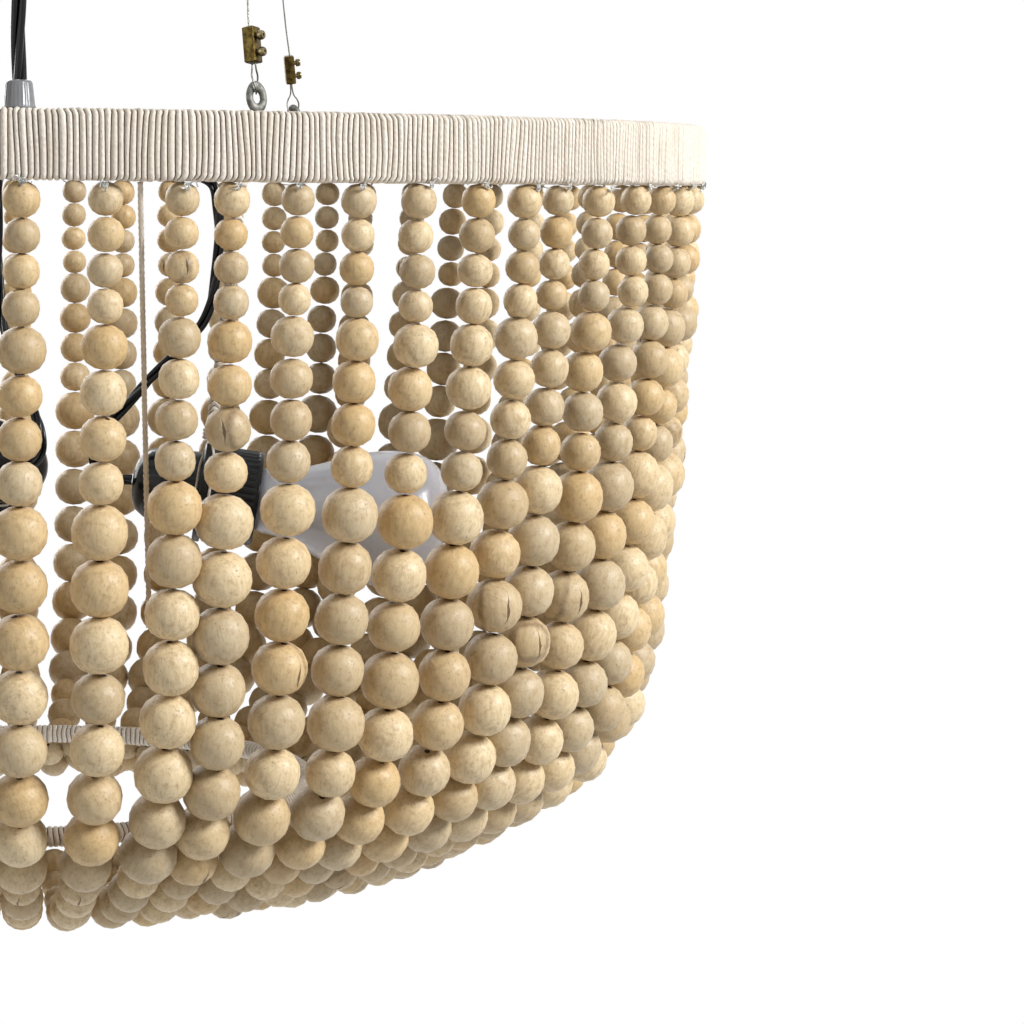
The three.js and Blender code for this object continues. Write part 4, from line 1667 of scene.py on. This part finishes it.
@dataclass
class PowerFeed:
    """The power cord of three conductors, its clear grip in the hub and its ceiling cup."""

    cord: Material
    grip: Material
    cup: Material
    cord_diameter: float = 0.0073
    conductor_diameter: float = 0.0034
    conductors: int = 3
    cord_twist: float = 6.0
    cord_lead: Triple = (1.0, 0.2, 0.0)
    grip_base: float = 0.018
    grip_top: float = 0.012
    grip_height: float = 0.0277
    shank_diameter: float = 0.010
    cup_diameter: float = 0.080
    cup_height: float = 0.016
    clearance: float = 0.0003
    ribs: int = 24
    groove: float = 0.0004
    # Rings up the grip: height as a share of its own, then how deep the grooves between the ribs
    # are and how far the cone steps out, both as shares of the groove.
    ring_shares: tuple[Triple, ...] = (
        (0.0, 0.0, -1.5), (0.02, 0.0, 0.0), (0.08, 0.0, 0.0),
        (0.1, 0.3, 0.0), (0.16, 1.0, 0.0), (0.5, 1.0, 0.0),
        (0.56, 0.2, 0.0), (0.58, 0.0, 0.6), (0.6, 0.4, 0.0),
        (0.94, 0.5, 0.0), (0.98, 0.0, -0.6), (1.0, 0.0, -2.2),
    )
    # The cup's neck as shares of the cord's diameter, and its wall as shares of its own radius,
    # each with how far down it is as a share of the cup's height.
    neck_shares: tuple[Pair, ...] = ((0, 1), (1, 1), (1.12, 0.98), (1.2, 0.9), (1.5, 0.78))
    wall_shares: tuple[Pair, ...] = (
        (0.5, 0.7), (0.8, 0.58), (0.93, 0.42), (0.985, 0.25), (1.0, 0.1),
        (1.0, 0.02), (0.995, 0.0), (0.0, 0.0),
    )
    # The cord's way from the grip to the cup, in metres.
    cord_route: tuple[Triple, ...] = (
        (0, 0, -0.0957), (0, 0, -0.090), (0, 0, -0.084),
        (0.00005, 0, -0.078), (0.00015, 0.00005, -0.073), (0.00025, 0.0001, -0.068),
        (0.0003, 0.0001, -0.063), (0.00035, 0.00015, -0.058), (0.00035, 0.00015, -0.053),
        (0.0003, 0.0001, -0.048), (0.00025, 0.0001, -0.043), (0.0002, 0.0001, -0.038),
        (0.0001, 0.00005, -0.033), (0.00005, 0, -0.028), (0, 0, -0.022),
        (0, 0, -0.0163),
    )

    def _grip(self) -> Shell:
        """The tapered grip: a round foot, then a cone with upright ribs up to its rounded top.

        The radius falls evenly with height, less a groove depth times the square of the sine of
        half the rib count times the angle. The shank below goes down through the hub.
        """
        share, depth, step = np.array(self.ring_shares).T
        seat = ARM_TOP + self.clearance
        radius = (self.grip_base + (self.grip_top - self.grip_base) * share) / 2 + step * self.groove
        sides = self.ribs * 6
        groove = self.groove * np.sin(whole_turn(sides) * self.ribs / 2) ** 2
        cone = radius[:, None] - depth[:, None] * groove
        shank = np.full((2, sides), self.shank_diameter / 2)
        level = np.concatenate([(ARM_UNDERSIDE, seat), seat + share * self.grip_height])
        return loft(round_grid(np.concatenate([shank, cone]), level, sides))

    def _cup(self) -> Shell:
        """The ceiling cup, turned: a flat top, a rounded wall and a low neck round the cord."""
        neck = np.array(self.neck_shares) * (self.cord_diameter, -self.cup_height)
        wall = np.array(self.wall_shares) * (self.cup_diameter / 2, -self.cup_height)
        return turned(np.concatenate([neck, wall]), 64, Stand.at_azimuth(0))

    def build(self) -> None:
        grip = make_piece("grip_cone", self._grip(), self.grip, stands_for=["cord_grip"])
        cup = make_piece("cup_shell", self._cup(), self.cup, stands_for=["ceiling_cup"])
        line = smooth_route(self.cord_route, 4)
        offset, radius = (self.cord_diameter - self.conductor_diameter) / 2, self.conductor_diameter / 2
        ways = wound_lines(line, self.conductors, offset, self.cord_twist, self.cord_lead)
        shell = joined([tube(way, radius, 20, self.cord_lead) for way in ways])
        plain = ["power_cord"]
        cord = make_piece("power_conductors", shell, self.cord, stands_for=plain, sharp=BUNDLED)


@dataclass
class LooseEnd:
    """The loose end of the wrapping cord, which hangs inside the shade."""

    finish: Material
    diameter: float = 0.0022
    plies: int = 2
    twist: float = 210.0
    ply_share: float = 0.13
    lead: Triple = (1.0, 0.1, 0.0)
    # Its place in the winding's pattern: near a crest, with a light tone.
    turn_place: Triple = (0.9, 0.3, 0.5)
    # Its way down from the rim band's underside, in metres.
    route: tuple[Triple, ...] = (
        (0.0430, -0.2937, -0.0003), (0.0432, -0.2914, -0.010), (0.0435, -0.2893, -0.020),
        (0.0437, -0.2871, -0.031), (0.0440, -0.2849, -0.043), (0.0443, -0.2830, -0.055),
        (0.0446, -0.2811, -0.067), (0.0448, -0.2792, -0.079), (0.0451, -0.2774, -0.091),
        (0.0454, -0.2754, -0.103), (0.0457, -0.2732, -0.115), (0.0460, -0.2709, -0.127),
        (0.0463, -0.2685, -0.139), (0.0466, -0.2664, -0.150), (0.0467, -0.2645, -0.159),
        (0.0467, -0.2632, -0.166),
    )

    def build(self) -> None:
        line = smooth_route(self.route, 12) + (0.0, 0.0, RIM_UNDERSIDE)
        shell = tube(line, self.diameter / 2, 12, self.lead, self.twist, self.plies, self.ply_share)
        held_mark(shell, "turn_place", self.turn_place)
        plain = ["loose_cord_end"]
        cord = make_piece("loose_end", shell, self.finish, stands_for=plain, sharp=SMOOTH)


# Lamps


@dataclass
class Lamps:
    """Three sockets on wound drop rods, set like a pinwheel, with their cords and bulbs.

    A socket's stand is at the middle of its back, with x along its pointing.
    """

    phenolic: Material
    glass: Material
    cap: Material
    cotton: Material
    cord: Material
    tie: Material
    count: int = 3
    first_azimuth: float = 86.0
    droop: float = 8.7
    setback: float = 0.0508
    offset: float = 0.0265
    drop: float = 0.132
    clearance: float = 0.0003
    # The socket, from its back along the way that it points.
    socket_length: float = 0.056
    socket_bottom: float = 0.030
    socket_edge: float = 0.0006
    socket_sides: int = 160
    back_diameter: float = 0.033
    back_length: float = 0.013
    back_shares: tuple[Pair, ...] = (
        (0.0, 0.0), (0.3, 0.0), (0.56, 0.07), (0.78, 0.24), (0.93, 0.52),
        (1.0, 0.9), (1.03, 1.0), (1.03, 1.12), (0.99, 1.2),
    )
    barrel_diameter: float = 0.034
    flange_diameter: float = 0.0456
    flange_start: float = 0.0295
    flange_thickness: float = 0.0034
    collar_diameter: float = 0.042
    mill_teeth: int = 40
    mill_depth: float = 0.0007
    # The bulb. Its cap's end and its glass are in shares of the cap's radius and of the glass.
    cap_diameter: float = 0.0264
    cap_sides: int = 40
    cap_start_share: float = 0.2
    cap_rise: float = 0.0008
    contact_shares: tuple[Pair, ...] = ((0.4, 0.0), (0.45, 0.05), (0.8, 0.16))
    thread_pitch: float = 0.00363
    thread_depth: float = 0.0009
    thread_end: float = 0.004
    thread_fade: float = 0.003
    bulb_diameter: float = 0.062
    bulb_reach: float = 0.141
    glass_shares: tuple[Pair, ...] = (
        (0.0, 0.0), (0.02, 0.05), (0.16, 0.14), (0.32, 0.42), (0.5, 0.78),
        (0.66, 0.97), (0.76, 1.0), (0.87, 0.86), (0.95, 0.5),
    )
    tip_shares: Pair = (0.008, 0.75)
    # The drop rod and its winding.
    rod_diameter: float = 0.0054
    rod_lean: float = 7.0
    rod_pitch: float = 0.0023
    rod_ridge: float = 0.0006
    rod_wander: float = 0.16
    rod_seed: int = 37
    # The lamp cords, their common joint in the middle and the ties.
    cord_bundle: float = 0.005
    conductor: float = 0.0023
    conductors: int = 3
    cord_twist: float = 11.0
    joint_diameter: float = 0.010
    joint_edge: float = 0.0008
    joint_extra: float = 0.002
    tie_heights: tuple[float, ...] = (-0.047, -0.092)
    tie_thickness: float = 0.0008
    tie_width: float = 0.0022
    lock_size: Pair = (0.0032, 0.0030)
    lock_height: float = 0.0032
    lock_corner: float = 0.0004
    lock_edge: float = 0.0003
    lock_offset: float = 0.0012
    tie_tail: tuple[Triple, ...] = (
        (0.001, 0.0, 0.0), (0.003, -0.0006, 0.001), (0.006, -0.002, 0.0025),
    )
    tie_tail_radius: float = 0.0007
    # The cotton lashing: two loops round the socket and three small ones up the rod.
    lash_radius: float = 0.0006
    lash_sides: int = 8
    lash_steps: tuple[int, int] = (72, 24)
    lash_shift: float = 0.0026
    lash_shift_share: float = 1.15
    lash_gap: float = 0.0008
    lash_lift: float = 0.001
    lash_uneven: float = 0.00004
    lash_seed: int = 70
    knot_heights: tuple[float, ...] = (0.0015, 0.0031, 0.0047)
    knot_gap: float = 0.0004
    knot_slant: float = 0.0008
    knot_share: float = 1.3
    turn_place: Triple = (0.9, 0.5, 0.5)
    # A lamp cord's way in the lamp's own turn: along, sideways and up from the axis at the rim
    # band's underside, in metres.
    cord_route: tuple[Triple, ...] = (
        (0, 0, 0.004), (0.034, -0.012, 0.0024), (0.072, -0.026, 0.003),
        (0.086, -0.031, -0.001), (0.0885, -0.0318, -0.012), (0.088, -0.0316, -0.038),
        (0.082, -0.030, -0.062), (0.070, -0.0275, -0.075), (0.046, -0.0265, -0.101),
        (0.035, -0.0265, -0.114), (0.0335, -0.0265, -0.124), (0.040, -0.0265, -0.1304),
        (0.0504, -0.0265, -0.1319),
    )

    def _socket(self, stand: Stand) -> Shell:
        """The socket, turned about its pointing, with a milled collar.

        The rows hold radius, distance from the back and whether the collar is milled there. Its
        radius then falls by the mill's depth times 0.5 + 0.5 cos(teeth times the angle).

        Args:
            stand: The socket's stand.

        Returns:
            The socket, open at its front.
        """
        barrel, flange, collar = (
            diameter / 2 for diameter in (self.barrel_diameter, self.flange_diameter, self.collar_diameter)
        )
        bore = self.cap_diameter / 2 + self.clearance
        start, end = self.flange_start, self.flange_start + self.flange_thickness
        length, edge = self.socket_length, self.socket_edge
        radius, depth = self.back_diameter / 2, self.back_length
        back = [(wide * radius, far * depth, 0) for wide, far in self.back_shares]
        front = (
            (barrel, start - edge, 0), (barrel, start, 0), (flange - edge, start, 0),
            (flange, start + edge, 0), (flange, end - edge, 0), (flange - edge, end, 0),
            (collar, end, 0), (collar, end + edge * 2, 0), (collar, end + edge * 3, 1),
            (collar, length - edge * 4, 1), (collar, length - edge * 3, 0), (collar, length - edge, 0),
            (collar - edge, length, 0), (bore + edge, length, 0), (bore, length - edge, 0),
            (bore, self.socket_bottom, 0), (0, self.socket_bottom, 0),
        )
        wide, along, milled = np.array((*back, *front), float).T
        teeth = 0.5 + 0.5 * np.cos(whole_turn(self.socket_sides) * self.mill_teeth)
        reach = wide[:, None] - self.mill_depth * milled[:, None] * teeth
        return loft(stand.lying().place(round_grid(reach, along, self.socket_sides)))

    def _cap(self, stand: Stand) -> Shell:
        """The bulb's screw cap.

        Its radius at distance d and angle t falls by the thread's depth times 0.5 + 0.5 cos of d
        in turns of the pitch less t. The depth fades out before the socket's mouth.

        Args:
            stand: The socket's stand.

        Returns:
            The cap, with its contact at the end.
        """
        radius, start = self.cap_diameter / 2, self.socket_bottom + self.clearance
        first, last = start + radius * self.cap_start_share, self.socket_length + self.cap_rise
        along = np.linspace(first, last, 60)
        end = self.socket_length - self.thread_end
        depth = self.thread_depth * np.clip((end - along) / self.thread_fade, 0, 1)
        turns = along[:, None] / self.thread_pitch * TURN - whole_turn(self.cap_sides)
        threaded = radius - depth[:, None] * (0.5 + 0.5 * np.cos(turns))
        wide, far = np.array(self.contact_shares).T * radius
        contact = np.repeat(wide[:, None], self.cap_sides, axis=1)
        reach, distance = np.concatenate([contact, threaded]), np.concatenate([start + far, along])
        return loft(stand.lying().place(round_grid(reach, distance, self.cap_sides)))

    def _glass(self, stand: Stand) -> Shell:
        """The glass, turned from a smooth line through its shares, and round at its tip.

        Args:
            stand: The socket's stand.

        Returns:
            The glass.
        """
        cap, full = self.cap_diameter / 2, self.bulb_diameter / 2
        length = self.bulb_reach - self.socket_length
        along, wide = np.array(self.glass_shares).T
        points = np.column_stack([self.socket_length + length * along, cap + (full - cap) * wide])
        back, width = self.tip_shares
        tip = ((self.bulb_reach - length * back, cap * width), (self.bulb_reach, 0.0))
        line = smooth_route([*points, *tip], 6)
        return turned(line[:, ::-1], 64, stand.lying())

    def _rod(self, outward: Stand) -> tuple[Shell, Stand]:
        """A wound rod from the socket's flange up to the inner ring.

        Args:
            outward: The lamp's stand on the middle axis.

        Returns:
            The rod, and the stand of its foot with z up the rod.
        """
        droop, tilt = math.radians(self.droop), math.radians(self.rod_lean)
        along = self.flange_start + self.flange_thickness / 2
        stand_off = self.flange_diameter / 2 + self.clearance
        reach = self.setback + math.cos(droop) * along + math.sin(droop) * stand_off
        level = RIM_UNDERSIDE - self.drop - math.sin(droop) * along + math.cos(droop) * stand_off
        rise = math.sin(tilt) * self.rod_diameter / 2
        length = (ARM_UNDERSIDE - self.clearance - rise - level) / math.cos(tilt)
        foot = outward.moved(reach, -self.offset, level).tilted(self.rod_lean)
        outline = circle_outline(self.rod_diameter / 2, 14)
        turns = round(length / self.rod_pitch)
        winding = Winding(turns, *outline, self.rod_ridge, self.rod_wander, self.rod_seed, closed=False)
        return rod_winding(winding, length, foot), foot

    def _lamp_cords(self) -> Shell:
        """The three lamps' conductors, loosely twisted, and the joint that they leave."""
        shells = []
        offset = (self.cord_bundle - self.conductor) / 2
        for number in range(self.count):
            outward = Stand.at_azimuth(self.first_azimuth + number * 360 / self.count)
            line = outward.moved(0, 0, RIM_UNDERSIDE).place(smooth_route(self.cord_route, 10))
            lead = outward.axes[1]
            ways = wound_lines(line, self.conductors, offset, self.cord_twist, lead)
            shells += [tube(way, self.conductor / 2, 10, lead) for way in ways]
        high = ARM_UNDERSIDE - 2 * self.clearance
        low = high - self.cord_bundle - self.joint_extra
        radius = self.joint_diameter / 2
        joint = peg(radius, low, high, self.joint_edge, 32, Stand.at_azimuth(0))
        return joined([*shells, joint])

    def _cable_tie(self, outward: Stand, height: float) -> Shell:
        """A small cable tie: a band, its lock and a short cut tail.

        A known fault: the route isn't moved down to the rim band's underside here, so each
        height lies below all of it, and each tie lands at the route's last point, off the cord.

        Args:
            outward: The lamp's stand on the middle axis.
            height: How far above the rim band's underside it belongs.

        Returns:
            The tie.
        """
        line = outward.place(smooth_route(self.cord_route, 10))
        nearest = int(np.argmin(np.abs(line[:, 2] - (RIM_UNDERSIDE + height))))
        along, first, second = (part[nearest] for part in across(line, outward.axes[1]))
        middle = Stand(line[nearest], np.array((first, second, along)))
        inner, half = self.cord_bundle / 2, self.tie_width / 2
        outer = inner + self.tie_thickness
        section = ((outer, -half), (outer, half), (inner, half), (inner, -half))
        band = turned(section, 28, middle, closed=True)
        outline = rounded_outline(*self.lock_size, self.lock_corner, 2)
        place = middle.moved(outer + self.lock_offset, 0, 0)
        lock = prism(outline, -self.lock_height / 2, self.lock_height / 2, self.lock_edge, place)
        tail = middle.moved(outer, 0, 0).place(smooth_route(self.tie_tail, 5))
        return joined([band, lock, tube(tail, self.tie_tail_radius, 8, along)])

    def _lash_loop(self, stand: Stand, side: int, rng: np.random.Generator) -> Shell:
        """A loop of the lashing round the socket, on one side of its flange.

        Its point at angle t is at radius (cos t, sin t) square to the socket. At the top, where
        the sixth power of cos t is near 1, it rises over the flange's rim and comes nearer to it.

        Args:
            stand: The socket's stand.
            side: -1 for the flange's back, on the barrel, and 1 for its front, on the collar.
            rng: The source of the random numbers.

        Returns:
            The loop.
        """
        angle = whole_turn(self.lash_steps[0])
        reach = (self.barrel_diameter if side < 0 else self.collar_diameter) / 2 + self.lash_gap
        lift = np.clip(np.cos(angle), 0, 1) ** 6
        radius = reach + (self.flange_diameter / 2 + self.lash_lift - reach) * lift
        shift = side * self.lash_shift * (self.lash_shift_share - lift)
        middle = self.flange_start + self.flange_thickness / 2 + shift
        uneven = middle + rng.normal(0, self.lash_uneven, len(angle))
        loop = stand.place(np.column_stack([uneven, radius * np.sin(angle), radius * np.cos(angle)]))
        centre = stand.place(np.column_stack([middle, np.zeros((len(angle), 2))]))
        return looped_tube(loop, unit(loop - centre), self.lash_radius, self.lash_sides)

    def _knot_loop(self, foot: Stand, height: float) -> Shell:
        """A small slanted loop of the lashing round the rod.

        Args:
            foot: The rod's foot.
            height: How far up the rod it is.

        Returns:
            The loop.
        """
        angle = whole_turn(self.lash_steps[1])
        radius = self.rod_diameter / 2 + self.knot_gap
        around = np.column_stack([np.cos(angle), np.sin(angle)])
        loop = foot.place(np.column_stack([radius * around, height + self.knot_slant * np.cos(angle)]))
        outward = unit(foot.point(np.column_stack([around, np.zeros(len(angle))])))
        return looped_tube(loop, outward, self.lash_radius * self.knot_share, self.lash_sides)

    def _lashing(self, stand: Stand, foot: Stand, number: int) -> Shell:
        """Thin cotton cord that ties the rod's foot to the socket.

        Args:
            stand: The socket's stand.
            foot: The rod's foot.
            number: The lamp's number.

        Returns:
            The cord's loops.
        """
        rng = np.random.default_rng(self.lash_seed + number)
        loops = [self._lash_loop(stand, side, rng) for side in (-1, 1)]
        knot = [self._knot_loop(foot, height) for height in self.knot_heights]
        return held_mark(joined([*loops, *knot]), "turn_place", self.turn_place)

    def _lamp(self, number: int) -> None:
        """One lamp: its socket, bulb, wound rod, lashing and ties.

        Args:
            number: Which lamp it is, from 1.
        """
        outward = Stand.at_azimuth(self.first_azimuth + (number - 1) * 360 / self.count)
        stand = outward.moved(self.setback, -self.offset, RIM_UNDERSIDE - self.drop).tilted(self.droop)
        rod, foot = self._rod(outward)
        lashing = self._lashing(stand, foot, number)
        ties = joined([self._cable_tie(outward, height) for height in self.tie_heights])
        body, plain = f"lamp_bulb_{number}", f"socket_{number}"
        shell = f"socket_shell_{number}"
        make_piece(shell, self._socket(stand), self.phenolic, stands_for=[plain], sharp=MILLED)
        glass, plain = f"bulb_glass_{number}", f"bulb_{number}"
        make_piece(glass, self._glass(stand), self.glass, body, stands_for=[plain])
        make_piece(f"bulb_cap_{number}", self._cap(stand), self.cap, body)
        winding, plain = f"rod_winding_{number}", f"drop_rod_{number}"
        make_piece(winding, rod, self.cotton, stands_for=[plain], sharp=WOUND)
        make_piece(f"lashing_{number}", lashing, self.cotton)
        make_piece(f"cable_ties_{number}", ties, self.tie, sharp=CRISP)
        LOG.info("lamp %d points %.1f degrees below level", number, self.droop)

    def build(self) -> None:
        """Makes the cords and the lamps."""
        cords, plain = self._lamp_cords(), ["lamp_cords"]
        make_piece("lamp_conductors", cords, self.cord, stands_for=plain, sharp=BUNDLED)
        for number in range(1, self.count + 1):
            self._lamp(number)


# Camera and stage


@dataclass(frozen=True)
class Viewpoint:
    """Where the photograph was taken from."""

    place: Triple = (0.0, -1.4872, -0.1386)
    yaw: float = 8.545
    pitch: float = -5.765
    roll: float = 0.494
    focal_px: float = 3280.7
    image_px: float = 1024.0
    sensor_mm: float = 36.0
    nearest: float = 0.05
    farthest: float = 100.0

    def build(self) -> None:
        """Makes the camera."""
        yaw, pitch, roll = (math.radians(angle) for angle in (self.yaw, self.pitch, self.roll))
        ahead = np.array((math.sin(yaw) * math.cos(pitch), math.cos(yaw) * math.cos(pitch), math.sin(pitch)))
        level = np.array((math.cos(yaw), -math.sin(yaw), 0.0))
        upright = np.cross(level, ahead)
        right = math.cos(roll) * level + math.sin(roll) * upright
        up = math.cos(roll) * upright - math.sin(roll) * level
        data = bpy.data.cameras.new("viewpoint")
        data.sensor_width = self.sensor_mm
        data.lens = self.focal_px / self.image_px * self.sensor_mm
        data.clip_start = self.nearest
        data.clip_end = self.farthest
        camera = bpy.data.objects.new("viewpoint", data)
        put(camera, (right, up, -ahead), self.place)
        bpy.context.scene.camera = camera
        LOG.info("camera at %s, lens %.1f mm", self.place, data.lens)


@dataclass(frozen=True)
class Lamp:
    """A square studio lamp: where it stands in metres, its size in metres and its power in watts."""

    name: str
    place: Triple
    size: float
    power: float

    def build(self, aim: Triple) -> None:
        """Makes the lamp.

        Args:
            aim: The point that it looks at.
        """
        data = bpy.data.lights.new(self.name, "AREA")
        data.size = self.size
        data.energy = self.power
        back = unit(np.array(self.place) - np.array(aim))
        right = unit(np.cross((0.0, 0.0, 1.0), back))
        put(bpy.data.objects.new(self.name, data), (right, np.cross(back, right), back), self.place)


@dataclass
class Studio:
    """A pale floor under a white surround, with lamps at the upper right, the left and behind."""

    floor_level: float = -1.6
    floor_size: float = 60.0
    floor_colour: Colour = (0.8, 0.8, 0.8, 1.0)
    white: Colour = (1.0, 1.0, 1.0, 1.0)
    # Where the floor starts to fade to white and where it has, and the share that it starts at.
    fade: Pair = (0.6, 2.6)
    fade_share: float = 0.5
    surround: float = 0.08
    aim: Triple = (0.0, 0.0, -0.28)
    lamps: tuple[Lamp, ...] = (
        Lamp("key", (2.7, -1.6, 1.6), 1.2, 164.0),
        Lamp("fill", (-2.4, -2.0, 0.4), 2.4, 20.0),
        Lamp("back", (-1.5, 2.6, 0.9), 2.2, 85.0),
    )

    @staticmethod
    def _seen_ray(shading: Shading) -> Value:
        """Which rays show what they hit.

        Args:
            shading: The tree.

        Returns:
            1 for a ray from the camera, a mirror or clear glass, and 0 for the rest.
        """
        seen = shading.node("ShaderNodeLightPath", output="Is Camera Ray")
        outputs = seen.socket.node.outputs
        for name in ("Is Glossy Ray", "Is Transmission Ray"):
            seen = seen.math("MAXIMUM", Value(shading, outputs[name]))
        return seen

    def _floor_finish(self) -> Material:
        """Pale and lit under the part, and fading to plain white away from it where it is seen."""
        shading = Shading.of_material("pale_floor")
        x, y, _ = shading.parts(shading.here())
        away = shading.ease(shading.length(x, y), *self.fade) * (1 - self.fade_share) + self.fade_share
        lit = shading.node("ShaderNodeBsdfDiffuse", inputs={"Color": self.floor_colour})
        white = shading.node("ShaderNodeEmission", inputs={"Color": self.white, "Strength": 1.0})
        share = self._seen_ray(shading) * away
        shading.show(shading.node("ShaderNodeMixShader", inputs={0: share, 1: lit, 2: white}))
        return shading.holder

    def _floor(self) -> None:
        """The flat floor, as a part of the stage."""
        half = self.floor_size / 2
        corners = ((-half, -half), (half, -half), (half, half), (-half, half))
        mesh = bpy.data.meshes.new("floor")
        mesh.from_pydata([(x, y, self.floor_level) for x, y in corners], [], [(0, 1, 2, 3)])
        mesh.materials.append(self._floor_finish())
        floor = bpy.data.objects.new("floor", mesh)
        bpy.context.scene.collection.objects.link(floor)

    def _world(self) -> None:
        """A surround that is white where it is seen and dimmer where it lights."""
        world = bpy.data.worlds.new("surround")
        bpy.context.scene.world = world
        shading = Shading(world)
        strength = self._seen_ray(shading) * (1 - self.surround) + self.surround
        white = {"Color": self.white, "Strength": strength}
        shading.show(shading.node("ShaderNodeBackground", inputs=white), "ShaderNodeOutputWorld")

    def build(self) -> None:
        """Makes the floor, the surround and the lamps."""
        self._floor()
        self._world()
        for lamp in self.lamps:
            lamp.build(self.aim)
        bpy.context.scene.view_settings.view_transform = "Standard"
        LOG.info("studio: floor at %.2f m", self.floor_level)


def main() -> None:
    """Builds the scene in order: camera, cords, then the rest of the chandelier, then the studio."""
    logging.basicConfig(level=logging.INFO, format="%(name)s: %(message)s")
    black = Plastic("black_conductor", tint(9, 9, 10), tint(20, 20, 22), 0.14, shine=0.3).material()
    phenolic = Plastic("black_phenolic", tint(7, 7, 8), tint(22, 22, 24), 0.12, shine=0.32).material()
    milky = Plastic("milky_grip", tint(150, 152, 156), tint(96, 98, 103), 0.16, translucent=0.45).material()
    zinc = Metal("dull_zinc", tint(132, 132, 126), tint(84, 84, 79), 0.5, metallic=0.7).material()
    rope = Metal("wire_rope", tint(150, 148, 142), tint(88, 86, 80), 0.3, scale=2400).material()
    brass = Metal("aged_brass", tint(104, 88, 48), tint(56, 46, 22), 0.3).material()
    screw = Metal("screw_brass", tint(150, 138, 104), tint(70, 60, 36), 0.16).material()
    cap = Metal("plated_cap", tint(186, 184, 178), tint(150, 148, 142), 0.25).material()
    enamel = Metal("black_enamel", tint(20, 20, 21), tint(34, 33, 32), 0.32, metallic=0.0).material()
    cotton = CottonCord().material()
    wood = BeadWood().material()
    nylon = NylonLine().material()

    Viewpoint().build()
    PowerFeed(black, milky, phenolic).build()
    Suspension(zinc, rope, brass, screw).build()
    LooseEnd(cotton).build()
    RimBand(cotton).build()
    TopFrame(enamel).build()
    LowerRing(cotton).build()
    BeadShade(wood, nylon).build()
    Lamps(phenolic, FrostedGlass().material(), cap, cotton, black, phenolic).build()
    Studio().build()


if __name__ == "__main__":
    main()
